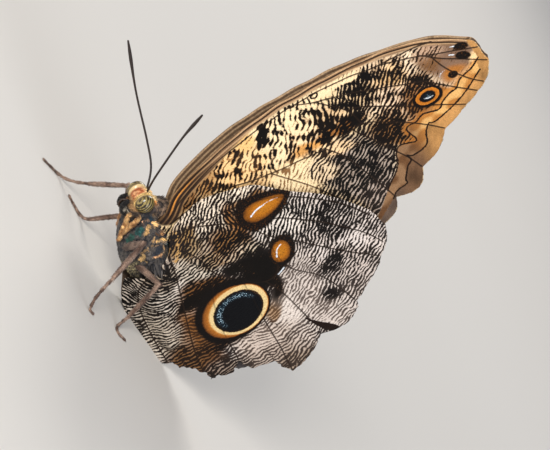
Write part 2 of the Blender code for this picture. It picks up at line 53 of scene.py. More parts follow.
def linear(paint):
    def one(c):
        c /= 255.0
        return c / 12.92 if c <= 0.04045 else ((c + 0.055) / 1.055) ** 2.4
    return tuple(one(float(c)) for c in (paints[paint] if isinstance(paint, str) else paint))


def asColour(paint):
    return paint if isinstance(paint, np.ndarray) else np.array(linear(paint))


def between(first, second, share):
    # share 0 gives the first colour and 1 the second, point by point
    share = share.reshape(-1, 1)
    return asColour(first) * (1 - share) + asColour(second) * share


def layOver(colour, paint, cover):
    # lays a paint over these colours in place, as far as cover says
    colour += (asColour(paint) - colour) * cover.reshape(-1, 1)


def smooth(t):
    t = np.clip(t, 0.0, 1.0)
    return t * t * (3.0 - 2.0 * t)


def curvePoints(points, step):
    # a smooth curve through all the points, evenly stepped
    knots = [np.array(p, float) for p in points]
    knots = [2 * knots[0] - knots[1]] + knots + [2 * knots[-1] - knots[-2]]
    dense = []
    for before, start, end, after in zip(knots, knots[1:], knots[2:], knots[3:]):
        for t in np.linspace(0.0, 1.0, 16, endpoint=False):
            dense.append(0.5 * (2 * start + (end - before) * t
                                + (2 * before - 5 * start + 4 * end - after) * t ** 2
                                + (3 * start - before - 3 * end + after) * t ** 3))
    dense = np.array(dense + [knots[-2]])
    run = np.concatenate([[0.0], np.cumsum(np.linalg.norm(np.diff(dense, axis=0), axis=1))])
    wanted = np.linspace(0.0, run[-1], max(2, int(round(run[-1] / step)) + 1))
    return np.stack([np.interp(wanted, run, dense[:, k]) for k in range(dense.shape[1])], axis=1)


def evenRim(points, step):
    # a closed outline cut into short even steps, its corners kept
    out = []
    for a, b in zip(points, np.roll(points, -1, axis=0)):
        n = max(1, int(round(np.linalg.norm(b - a) / step)))
        out += [a + (b - a) * i / n for i in range(n)]
    return np.array(out)


def scalloped(ends, bulges, steps=6):
    points = []
    for (x0, z0), (x1, z1), bulge in zip(ends, ends[1:], bulges):
        chord = math.hypot(x1 - x0, z1 - z0)
        for i in range(steps):
            reach = bulge * math.sin(math.pi * i / steps)
            points.append((x0 + (x1 - x0) * i / steps - (z1 - z0) / chord * reach,
                           z0 + (z1 - z0) * i / steps + (x1 - x0) / chord * reach))
    points.append(ends[-1])
    return points


def insideOf(points, outline):
    inside = np.zeros(len(points), bool)
    for (x0, z0), (x1, z1) in zip(outline, np.roll(outline, -1, axis=0)):
        crosses = (z0 > points[:, 1]) != (z1 > points[:, 1])
        where = x0 + (points[:, 1] - z0) * (x1 - x0) / (z1 - z0 if z1 != z0 else 1e-9)
        inside ^= crosses & (points[:, 0] < where)
    return inside


def distanceTo(points, path):
    nearest = np.full(len(points), np.inf)
    for start, end in zip(path[:-1], path[1:]):
        run = end - start
        t = np.clip(((points - start) @ run) / max(run @ run, 1e-12), 0.0, 1.0)
        nearest = np.minimum(nearest, np.linalg.norm(points - start - t[:, None] * run, axis=1))
    return nearest


def linkedObject(name, data):
    made = bpy.data.objects.new(name, data)
    bpy.context.scene.collection.objects.link(made)
    return made


def meshPiece(name, points, faces, materials, faceMaterial=None):
    # points in millimetres from the thorax; the mesh holds its place in metres
    shift = np.array([-standing["middleX"], -standing["middleY"], 0.0])
    mesh = bpy.data.meshes.new(name)
    mesh.from_pydata(((np.asarray(points, float) + shift) * mm).tolist(), [], faces)
    for material in materials:
        mesh.materials.append(material)
    if faceMaterial is not None:
        mesh.polygons.foreach_set("material_index", np.asarray(faceMaterial, np.int32))
    mesh.shade_smooth()
    return linkedObject(name, mesh)


def addValues(piece, name, values):
    values = np.asarray(values, np.float32)
    if values.ndim == 1:
        piece.data.attributes.new(name, "FLOAT", "POINT").data.foreach_set("value", values)
    else:
        full = np.ones((len(values), 4), np.float32)
        full[:, :3] = values
        piece.data.attributes.new(name, "FLOAT_COLOR", "POINT").data.foreach_set("color", full.ravel())


# Node trees: materials, the effects they share, and the tree that plants the coat

class Nodes:
    # a node tree under construction
    def __init__(self, tree):
        self.tree = tree

    def feed(self, socket, value):
        # a link from another node, or a fixed value
        if isinstance(value, bpy.types.NodeSocket):
            self.tree.links.new(value, socket)
        elif isinstance(value, tuple) and len(value) == 3 and socket.type == "RGBA":
            socket.default_value = (*value, 1.0)
        else:
            socket.default_value = value

    def node(self, kind, inputs=None, **settings):
        # a kind without Node in its name is a shader node
        made = self.tree.nodes.new(kind if "Node" in kind else "ShaderNode" + kind)
        for key, value in settings.items():
            setattr(made, key, value)
        for key, value in (inputs or {}).items():
            self.feed(made.inputs[key], value)
        return made

    def value(self, name):
        return self.node("Attribute", attribute_name=name).outputs["Fac"]

    def colour(self, name):
        return self.node("Attribute", attribute_name=name).outputs["Color"]

    def math(self, operation, a, b=0.0):
        return self.node("Math", {0: a, 1: b}, operation=operation).outputs[0]

    def addScaled(self, value, extra, amount):
        return self.math("ADD", value, self.math("MULTIPLY", extra, amount))

    def step(self, value, low, high):
        # soft step from 0 at low to 1 at high
        return self.node("MapRange", {"Value": value, "From Min": low, "From Max": high},
                         interpolation_type="SMOOTHSTEP", clamp=True).outputs["Result"]

    def mix(self, factor, a, b):
        return self.node("Mix", {0: factor, 6: a, 7: b}, data_type="RGBA").outputs[2]

    def brighten(self, colour, value, low, high, darkest, brightest):
        # scales a colour's brightness as a value runs from low to high
        share = self.node("MapRange", {"Value": value, "From Min": low, "From Max": high,
                                       "To Min": darkest, "To Max": brightest}).outputs["Result"]
        return self.node("HueSaturation", {"Color": colour, "Value": share}).outputs["Color"]

    def ramp(self, value, stops):
        made = self.node("ValToRGB", {"Fac": value})
        elements = made.color_ramp.elements
        while len(elements) < len(stops):
            elements.new(0.5)
        for element, (place, paint) in zip(elements, stops):
            element.position = place
            element.color = (*linear(paint), 1.0)
        return made.outputs["Color"]

    def place(self):
        return self.node("TexCoord").outputs["Object"]

    def noise(self, scale, detail, roughness):
        return self.node("TexNoise", {"Vector": self.place(), "Scale": scale, "Detail": detail,
                                      "Roughness": roughness}).outputs["Fac"]

    def grained(self, colour, scale, low, high):
        return self.node("Group", {"Colour": colour, "Scale": scale, "Low": low, "High": high},
                         node_tree=fineGrain).outputs

    def finish(self, surface, colour, height, strength, distance):
        # a material's colour and fine relief, the relief's depth in metres
        self.feed(surface.inputs["Base Color"], colour)
        bump = self.node("Bump", {"Height": height, "Strength": strength, "Distance": distance})
        self.feed(surface.inputs["Normal"], bump.outputs["Normal"])


# How fine each surface's pattern is: cells of noise on a metre
cellsPerMetre = dict(fray=2200.0, specks=3400.0, wing=5200.0, wingUpper=2500.0, sweep=60.0, skin=2600.0,
                     hair=900.0, eye=3200.0, eyeBlots=1100.0, eyeFacets=14000.0, tube=1800.0, floor=3.0)


def startMaterial(name, roughness, **constants):
    material = bpy.data.materials.new(name)
    material.use_nodes = True
    surface = material.node_tree.nodes["Principled BSDF"]
    surface.inputs["Roughness"].default_value = roughness
    for socket, value in constants.items():
        surface.inputs[socket.replace("_", " ")].default_value = value
    return material, Nodes(material.node_tree), surface


def startGroup(name, inputs, outputs, kind="ShaderNodeTree"):
    # a node group with named sockets
    tree = bpy.data.node_groups.new(name, kind)
    for way, sockets in (("INPUT", inputs), ("OUTPUT", outputs)):
        for socketName, socketKind in sockets.items():
            tree.interface.new_socket(socketName, in_out=way, socket_type="NodeSocket" + socketKind)
    s = Nodes(tree)
    return s, s.node("NodeGroupInput").outputs, s.node("NodeGroupOutput").inputs


def grainGroup():
    # fine grain of scales, hair or cuticle: varies a colour's brightness and gives a height
    s, given, result = startGroup("fineGrain", dict(Colour="Color", Scale="Float", Low="Float", High="Float"),
                                  dict(Colour="Color", Height="Float"))
    grain = s.noise(given["Scale"], 3.0, 0.6)
    s.feed(result["Colour"], s.brighten(given["Colour"], grain, 0.28, 0.72, given["Low"], given["High"]))
    s.feed(result["Height"], grain)
    return s.tree


def rippleGroup():
    # dark and light scales split by a field of lines, with ochre along the dark ones where it is warm and a
    # painted highlight along the middle of each light line
    s, given, result = startGroup(
        "rippledScales",
        dict(Ripple="Float", Split="Float", Light="Color", Shade="Color", Warm="Float", Vein="Float",
             Line="Float"),
        dict(Colour="Color", Height="Float", Fray="Float", Vein="Float"))
    fray = s.math("SUBTRACT", s.noise(cellsPerMetre["fray"], 3.0, 0.62), 0.5)
    above = s.math("SUBTRACT", s.addScaled(given["Ripple"], fray, 3.3), given["Split"])
    lit = s.step(above, -0.3, 0.3)
    fringe = s.math("MULTIPLY", s.step(above, 1.25, 0.35), given["Warm"])
    pale = s.mix(fringe, given["Light"], linear((150, 98, 48)))
    # painted highlight: the light scales brighter towards the middle of each pale line
    pale = s.brighten(pale, above, 0.2, 1.0, 0.92, 1.24)
    colour = s.mix(lit, given["Shade"], pale)
    vein = s.step(s.addScaled(given["Vein"], fray, 0.16), 0.22, 0.1)
    veinTone = s.mix(0.5, linear((50, 34, 24)), given["Shade"])
    colour = s.mix(s.math("MULTIPLY", vein, 0.85), colour, veinTone)
    # dark lines: drawn lines on the forewing, and on the hindwing the painted shadow in the fold
    line = s.step(s.addScaled(given["Line"], fray, 0.4), 0.24, 0.12)
    colour = s.mix(line, colour, linear((30, 19, 13)))
    for name, value in dict(Colour=colour, Height=lit, Fray=fray, Vein=vein).items():
        s.feed(result[name], value)
    return s.tree


fineGrain = grainGroup()
rippledScales = rippleGroup()


# Wing shapes: the same curves as the solids, with a finer margin

wing = dict(rest=0.25, flare=2.0, spread=45.0, costaFlare=1.1, hindClearance=1.05, bodyClearance=0.4,
            depth=0.5, membrane=0.26, rimMembrane=0.12, rimWidth=0.6, veinRise=0.1, veinHalfWidth=0.34,
            bulge=0.1, waves=0.13, rearRoot=(1.8, 17.2), rearTip=(22.4, 50.5), grid=0.185, innerGrid=0.9)


def wingGap(x, z):
    reach = np.minimum(np.hypot(x + 1.5, z - 17.5), wing["spread"])
    costa = smooth((-4.0 - x) / 11.0) * (1.0 - smooth((z - 30.0) / 50.0))
    return wing["rest"] + wing["flare"] * (1.0 - reach / wing["spread"]) ** 2 + wing["costaFlare"] * costa


def bodyTent(x, z, start, end):
    dx, dz = end[0] - start[0], end[1] - start[1]
    t = np.clip(((x - start[0]) * dx + (z - start[1]) * dz) / (dx * dx + dz * dz), 0.0, 1.0)
    away = np.hypot(x - (start[0] + t * dx), z - (start[1] + t * dz))
    height = start[2] + (end[2] - start[2]) * t
    width = start[3] + (end[3] - start[3]) * t
    return width * np.cos(np.minimum(1.0, away / (1.6 * height)) * math.pi / 2)


def hindwingGap(x, z):
    run = np.array(wing["rearTip"]) - np.array(wing["rearRoot"])
    beyond = ((x - wing["rearRoot"][0]) * run[1] - (z - wing["rearRoot"][1]) * run[0]) / np.linalg.norm(run)
    overWing = wingGap(x, z) + wing["hindClearance"] * (1.0 - smooth((beyond - 1.0) / 11.0))
    body = np.maximum(bodyTent(x, z, (0.0, 11.1, 5.0, 4.2), (7.0, 8.6, 4.0, 3.6)),
                      bodyTent(x, z, (7.0, 8.6, 3.8, 3.6), (25.0, 4.2, 1.4, 1.3)))
    overBody = body + wing["bodyClearance"]
    return 0.5 * (overWing + overBody + np.sqrt((overWing - overBody) ** 2 + 0.075 * body))


def ragged(points, amount, seed):
    # small nicks along a worn margin
    rng = np.random.default_rng(seed)
    path = np.array(points, float)
    fine = []
    for a, b in zip(path[:-1], path[1:]):
        n = max(1, int(round(np.linalg.norm(b - a) / 0.55)))
        side = np.array([-(b - a)[1], (b - a)[0]]) / max(np.linalg.norm(b - a), 1e-9)
        for i in range(n):
            push = amount * rng.normal() if i else 0.0
            fine.append(a + (b - a) * i / n + side * push)
    fine.append(path[-1])
    return [tuple(p) for p in fine]


forewingCosta = [(-5.3, 18.9), (-8.5, 22.4), (-11.3, 28.2), (-14.3, 36.3), (-16.2, 44.2), (-17.4, 52.2),
                 (-18.2, 64.1), (-17.8, 72.0), (-16.5, 79.9), (-14.6, 84.3), (-12.3, 88.0)]


def forewingMargin():
    return scalloped([(-12.3, 88.0), (-9.9, 89.5), (-8.4, 89.6), (-6.3, 90.1), (-4.5, 89.3), (-1.9, 87.4),
                      (-0.4, 85.3), (1.5, 82.0), (4.7, 76.0), (11.0, 68.2), (14.9, 60.5), (19.8, 55.6),
                      wing["rearTip"]],
                     [0.5, 0.1, -0.1, 0.1, 0.3, 0.2, 0.2, 0.25, 0.9, 2.5, 1.2, 1.0])


def forewingOutline():
    rear = curvePoints([wing["rearTip"], (15.0, 40.5), (8.5, 30.0), (3.5, 22.0), wing["rearRoot"]], 1.5)
    root = [(0.2, 14.6), (-3.6, 15.4), (-5.0, 17.2)]
    margin = ragged(forewingMargin(), 0.05, 3)
    return np.array([*curvePoints(forewingCosta, 1.0)[:-1], *margin[:-1], *rear, *root])


forewingVeins = [
    [(-4.8, 19.2), (-8.1, 22.9), (-10.8, 28.4), (-13.8, 36.4), (-15.7, 44.3), (-16.9, 52.2),
     (-17.7, 64.0), (-17.3, 72.0), (-16.0, 79.7), (-14.1, 84.0), (-12.1, 87.2)],
    [(-3.6, 18.6), (-7.0, 23.8), (-10.7, 31.6), (-13.2, 40.0), (-14.9, 48.2), (-15.9, 57.0),
     (-16.0, 64.0), (-15.4, 70.0), (-15.7, 77.0), (-15.4, 81.9)],
    [(-15.4, 70.0), (-14.1, 76.5), (-12.2, 82.0), (-9.9, 89.3)],
    [(-13.6, 78.6), (-10.2, 83.0), (-6.3, 89.7)],
    [(-12.9, 80.2), (-8.3, 81.9), (-4.2, 84.7), (-2.0, 87.1)],
    [(-15.4, 52.6), (-14.0, 56.1), (-12.7, 61.7), (-10.4, 68.9), (-7.9, 75.8), (-5.2, 79.5), (-0.6, 85.1)],
    [(-14.0, 56.1), (-8.9, 60.8), (-4.3, 62.0)],
    [(-8.9, 60.8), (-8.0, 64.4), (-4.1, 71.3), (-1.6, 76.4), (1.3, 81.8)],
    [(-2.7, 18.6), (-4.1, 26.0), (-4.3, 32.0), (-3.2, 38.0), (-2.8, 45.0), (-2.9, 53.0), (-4.3, 62.0),
     (-1.6, 68.2), (1.3, 72.4), (4.5, 75.8)],
    [(-3.7, 60.0), (0.5, 62.6), (6.7, 66.3), (10.7, 68.0)],
    [(-2.9, 53.0), (1.6, 56.1), (8.0, 58.3), (14.6, 60.4)],
    [(-2.9, 41.3), (4.5, 47.3), (12.5, 52.0), (19.5, 55.4)],
    [(-1.4, 18.4), (4.0, 28.0), (12.5, 41.2), (21.6, 50.9)],
]


def hindwingOutline(torn):
    costa = curvePoints([(-2.6, 19.4), (-4.8, 24.6), (-5.1, 27.9), (-3.6, 35.1), (-2.5, 37.8), (2.0, 42.5),
                         (6.5, 48.3), (12.6, 53.3), (15.4, 55.0), (19.8, 55.7)], 1.0)
    margin = scalloped([(19.8, 55.7), (26.0, 51.8), (31.6, 46.3), (34.9, 42.1), (36.4, 41.9), (39.4, 34.8),
                        (38.8, 32.1), (44.8, 22.6)],
                       [0.7, 0.5, 0.1, 0.05, 0.9, 0.0, 0.95])
    notch = [(36.7, 14.2)] if torn else [(39.9, 14.0)]
    lower = [(44.8, 22.6), (42.6, 21.1), (40.5, 20.6), (40.2, 17.8), (39.7, 15.5), *notch, (38.9, 11.8),
             (38.7, 10.2), (37.8, 8.4), (38.2, 6.9), (36.2, 7.1), (33.8, 4.8), (32.4, 3.7), (32.3, 2.6),
             (30.2, 2.1), (29.7, 0.6), (28.8, 0.0)]
    floor = [(x, 0.0) for x in np.linspace(25.0, 13.2, 5)]
    front = curvePoints([(10.4, 0.7), (7.6, 2.4), (4.8, 4.6), (5.4, 8.0), (5.4, 11.4), (3.8, 14.6),
                         (0.8, 16.6), (-1.4, 17.6)], 1.2)
    worn = ragged(margin, 0.1, 7)[:-1] + ragged(lower, 0.16, 8)
    return np.array([*costa[:-1], *worn, *floor, *front])


hindwingVeins = [
    [(0.5, 17.7), (-0.3, 22.0), (-0.3, 27.0), (-0.2, 31.0), (0.5, 35.0), (1.8, 39.4), (4.5, 44.0),
     (9.9, 50.2), (15.7, 54.4)],
    [(-0.3, 22.4), (2.2, 27.8), (4.7, 31.7), (5.8, 35.0), (7.3, 38.8), (11.9, 44.6), (18.3, 50.8),
     (22.9, 53.6)],
    [(4.7, 31.7), (9.2, 34.0), (13.2, 38.0), (19.3, 44.0), (25.7, 51.3)],
    [(9.2, 34.0), (14.7, 33.6), (19.8, 34.5), (24.3, 38.3), (28.6, 40.4), (34.0, 42.1)],
    [(14.7, 33.6), (19.2, 31.7), (20.6, 28.4), (17.9, 24.4), (12.7, 20.4), (8.0, 19.8), (3.5, 17.9)],
    [(20.6, 28.4), (24.7, 29.9), (30.7, 31.2), (35.1, 32.2), (38.9, 34.1)],
    [(17.9, 24.4), (23.7, 24.1), (30.7, 23.6), (37.6, 23.4), (44.2, 22.8)],
    [(12.7, 20.4), (16.1, 18.6), (20.7, 16.6), (28.7, 14.9), (36.2, 14.4)],
    [(3.9, 15.0), (10.6, 13.2), (20.7, 10.1), (29.7, 7.5), (35.4, 6.6)],
    [(5.2, 9.6), (8.4, 5.6), (14.6, 2.9), (22.7, 1.7), (29.4, 1.3)],
]


# Wing markings: fine dark ripples whose run, spacing and darkness change over the wing

# Ripples: grid cell, run directions, line spacings, rounds of growth, and how far each line strays
ripple = dict(cell=0.13, turns=12, spacings=(0.56, 0.74, 0.96, 1.26), rounds=3, seed=11, wiggle=0.07,
              scale=0.8)
frontLines = 7.2  # lengthwise lines of the front edge, in radians for each millimetre

# x, z, run of the lines in degrees, spacing, how strictly they run that way
forewingRun = [
    (-13, 81, -54, 0.8, 0.9), (-13, 77, -53, 0.9, 1.0), (-9, 77, -50, 0.8, 1.0), (-13, 73, -46, 1.0, 1.0),
    (-9, 73, -43, 0.8, 1.0), (-5, 71, -46, 0.9, 0.8), (-13, 69, -34, 0.9, 1.0), (-9, 69, -41, 0.8, 1.0),
    (-1, 69, -68, 1.1, 0.6), (-13, 65, -33, 1.1, 0.7), (-8, 65, -38, 1.0, 0.7), (-5, 65, -54, 0.8, 1.0),
    (-1, 65, -56, 0.8, 0.9), (3, 65, -45, 1.0, 0.7), (-13, 61, -20, 0.9, 0.6), (-9, 61, -33, 0.8, 0.8),
    (-5, 60, -65, 1.0, 0.8), (-1, 60, -56, 0.8, 0.9), (4, 60, -52, 0.85, 0.9), (10, 60, -52, 1.0, 0.8),
    (-13, 56, -10, 1.3, 0.2), (-9, 56, -26, 1.4, 0.35), (-5, 55, -60, 1.2, 0.7), (0, 55, -54, 0.9, 0.9),
    (6, 55, -48, 0.9, 0.9), (15, 57, -60, 1.1, 0.9), (19, 56, -55, 1.0, 0.9), (-12, 50, -15, 1.3, 0.2),
    (-8, 50, -36, 1.1, 0.3), (-4, 49, -45, 1.1, 0.5), (-1, 50, -58, 0.8, 0.9), (3, 48, -42, 0.8, 0.9),
    (-13, 43, -50, 1.4, 0.3), (-8, 43, -32, 1.2, 0.2), (-4, 42, -28, 1.2, 0.4), (-9, 36, -45, 1.3, 0.15),
    (-4, 36, -45, 1.1, 0.3), (-9, 31, -38, 1.1, 0.3), (-5, 30, -50, 1.0, 0.5), (-8, 25, -54, 0.9, 0.9),
    (-4, 22, -46, 0.9, 0.9),
]
hindwingRun = [
    (-3, 31, -48, 0.85, 1.0), (-4, 24, -40, 0.8, 1.0), (-2, 36, -52, 0.85, 0.9), (1, 26, -34, 0.9, 0.9),
    (1, 21, -43, 0.85, 0.9), (4, 23, -55, 0.85, 1.0), (8, 23, -63, 0.8, 0.9), (12, 24, -62, 0.8, 0.9),
    (8, 29, -65, 0.85, 0.7), (12, 30, -55, 0.9, 0.6), (2, 30, 8, 1.0, 0.8), (8, 35, -37, 0.95, 1.0),
    (7, 42, -35, 0.9, 1.0), (4, 46, -41, 0.85, 0.9), (12, 41, -32, 0.9, 1.0), (17, 38, -48, 0.75, 0.9),
    (16, 44, -45, 0.85, 0.9), (13, 49, -48, 0.85, 1.0), (19, 52, -49, 0.8, 1.0), (20, 47, -56, 0.8, 1.0),
    (26, 48, -53, 0.95, 1.0), (24, 42, -48, 0.8, 0.9), (31, 43, -56, 0.9, 0.9), (22, 37, -46, 0.75, 1.0),
    (28, 38, -53, 0.9, 0.9), (34, 39, -62, 0.9, 0.7), (24, 32, -49, 0.8, 1.0), (31, 34, -52, 0.9, 0.8),
    (38, 34, -60, 0.8, 0.5), (29, 29, -58, 0.9, 0.5), (36, 29, -66, 0.9, 0.4), (41, 27, -52, 1.0, 0.8),
    (33, 22, 82, 0.95, 0.45), (39, 21, -86, 0.9, 0.5), (35, 17, -78, 0.95, 0.55), (35, 12, -86, 0.95, 0.7),
    (6, 18, -53, 0.85, 0.8), (10, 19, -67, 0.85, 0.9), (15, 18, -65, 0.9, 0.8), (9, 15, -56, 0.75, 0.9),
    (13, 14, -66, 0.85, 1.0), (4, 12, -25, 0.95, 0.7), (8, 11, 28, 1.0, 0.8), (12, 10, 52, 1.0, 0.8),
    (16, 10, 76, 1.0, 0.8), (4, 7, 28, 1.0, 0.9), (9, 6, 28, 1.0, 0.9), (13, 6, 62, 1.0, 0.7),
    (20, 7, 66, 1.0, 0.6), (25, 7, 65, 1.0, 0.6), (30, 8, 86, 0.95, 0.8), (36, 8, -76, 1.0, 0.8),
    (9, 2, 20, 1.0, 0.9), (14, 2, 60, 1.0, 0.4), (18, 3, -78, 1.0, 0.8), (27, 3, -86, 1.0, 0.8),
]


def rippleField(run, low, high, seed):
    # lines grown from noise by repeated band filters, each following the local run and spacing
    cell = ripple["cell"]
    nx = int((high[0] - low[0]) / cell) + 1
    nz = int((high[1] - low[1]) / cell) + 1
    x, z = np.meshgrid(low[0] + cell * np.arange(nx), low[1] + cell * np.arange(nz), indexing="ij")
    total, cosine, sine, spacing, order = (np.zeros((nx, nz)) for _ in range(5))
    for gx, gz, degrees, gap, strict in run:
        weight = 1.0 / (((x - gx) ** 2 + (z - gz) ** 2) ** 1.5 + 2.0)
        total += weight
        cosine += weight * math.cos(2 * math.radians(degrees))
        sine += weight * math.sin(2 * math.radians(degrees))
        spacing += weight * gap * ripple["scale"]
        order += weight * strict
    across = 0.5 * np.arctan2(sine, cosine) + math.pi / 2
    spacing, order = spacing / total, order / total
    fx, fz = np.meshgrid(np.fft.fftfreq(nx, cell), np.fft.rfftfreq(nz, cell), indexing="ij")
    radius, heading = np.hypot(fx, fz), np.arctan2(fz, fx)
    bands, weights = [], []
    for gap in ripple["spacings"]:
        near = np.exp(-0.5 * (np.log(spacing / gap) / 0.16) ** 2)
        ring = np.exp(-0.5 * ((radius * gap - 1.0) / 0.27) ** 2)
        for k in range(ripple["turns"]):
            turn = math.pi * k / ripple["turns"]
            off = (heading - turn + math.pi / 2) % math.pi - math.pi / 2
            local = (across - turn + math.pi / 2) % math.pi - math.pi / 2
            bands.append(ring * np.exp(-0.5 * (off / 0.26) ** 2))
            weights.append(near * (0.16 * (1 - order) + order * np.exp(-0.5 * (local / 0.24) ** 2)))
    level = np.exp(-0.5 * (radius * 2 * math.pi * 1.6) ** 2)
    field = np.random.default_rng(seed).normal(size=(nx, nz))
    for _ in range(ripple["rounds"]):
        spectrum = np.fft.rfft2(field)
        field = sum(w * np.fft.irfft2(spectrum * b, s=(nx, nz)) for b, w in zip(bands, weights))
        power = np.fft.irfft2(np.fft.rfft2(field ** 2) * level, s=(nx, nz))
        field = field / np.sqrt(np.maximum(power, 1e-12))
        grown = field
        field = np.tanh(1.3 * field)
    return grown


def readField(field, low, x, z):
    # read a little off each place, so that the lines wiggle and fork as they run
    x = x + ripple["wiggle"] * wobble(x, z, 0.3, 13) + 0.2 * wobble(x, z, 1.4, 14)
    z = z + ripple["wiggle"] * wobble(x, z, 0.3, 15) + 0.2 * wobble(x, z, 1.4, 16)
    u = np.clip((x - low[0]) / ripple["cell"], 0, field.shape[0] - 1.001)
    v = np.clip((z - low[1]) / ripple["cell"], 0, field.shape[1] - 1.001)
    i, j = u.astype(int), v.astype(int)
    u, v = u - i, v - j
    return ((field[i, j] * (1 - u) + field[i + 1, j] * u) * (1 - v)
            + (field[i, j + 1] * (1 - u) + field[i + 1, j + 1] * u) * v)


def wobble(x, z, size, seed):
    # gentle waves that keep a zone's edge from being a clean ellipse
    rng = np.random.default_rng(seed)
    total = np.zeros_like(x)
    for _ in range(7):
        kx, kz = rng.normal(0, 1 / size, 2)
        total += np.sin(kx * x + kz * z + rng.uniform(0, 2 * math.pi))
    return total / 2.6


def radial(x, z, cx, cz, halfX, halfZ, turn=0.0, taper=0.0):
    # distance from a spot's middle, 1 on its edge, and the direction from it
    c, s = math.cos(math.radians(turn)), math.sin(math.radians(turn))
    along = ((x - cx) * c + (z - cz) * s) / halfX
    up = (-(x - cx) * s + (z - cz) * c) / halfZ
    along = along / np.clip(1.0 - taper * up, 0.3, 2.0)
    return np.hypot(along, up), np.arctan2(up, along) + math.radians(turn)


def facing(angle, degrees):
    # 1 in that direction from a spot's middle, 0 a quarter turn away
    return np.clip(np.cos(angle - math.radians(degrees)), 0.0, 1.0)


def rings(r, edges):
    # stretches a radius so that each whole number is one of the edges
    level = np.zeros_like(r)
    inner = np.zeros_like(r)
    for edge in edges:
        level += np.clip((r - inner) / (edge - inner), 0.0, 1.0)
        inner = edge
    return level + np.maximum(r - inner, 0.0)


def zoneCover(x, z, cx, cz, halfX, halfZ, turn, soft):
    # 1 inside a soft-edged ellipse, 0 outside
    r, _ = radial(x, z, cx, cz, halfX, halfZ, turn)
    return 1.0 - smooth((r - 1.0 + soft) / (2.0 * soft))


def layZones(x, z, zones, start, seed):
    # zones: middle x, z, half sizes, turn, softness, darkness, light colour, dark colour
    dark = np.full(len(x), start[0])
    light = np.tile(linear(start[1]), (len(x), 1))
    shade = np.tile(linear(start[2]), (len(x), 1))
    wx = x + 0.5 * wobble(x, z, 1.6, seed)
    wz = z + 0.5 * wobble(x, z, 1.6, seed + 1)
    for *form, darkness, lightPaint, shadePaint in zones:
        cover = zoneCover(wx, wz, *form)
        dark += (darkness - dark) * cover
        for field, paint in ((light, lightPaint), (shade, shadePaint)):
            if paint is not None:
                layOver(field, paint, cover)
    return dark, light, shade


def blend(x, z, zones, start, seed):
    # one value over the wing: middle x, z, half sizes, turn, softness, value
    value = np.full(len(x), float(start))
    wx = x + 0.6 * wobble(x, z, 1.6, seed)
    wz = z + 0.6 * wobble(x, z, 1.6, seed + 1)
    for *form, wanted in zones:
        value += (wanted - value) * zoneCover(wx, wz, *form)
    return value


def threshold(dark):
    # share of the surface that is dark -> level of the ripple field that splits light from dark
    beyond = np.maximum(dark - 1.0, 0.0) + np.minimum(dark, 0.0)
    return 1.45 * np.sin(math.pi * (np.clip(dark, 0.0, 1.0) - 0.5)) + 4.0 * beyond


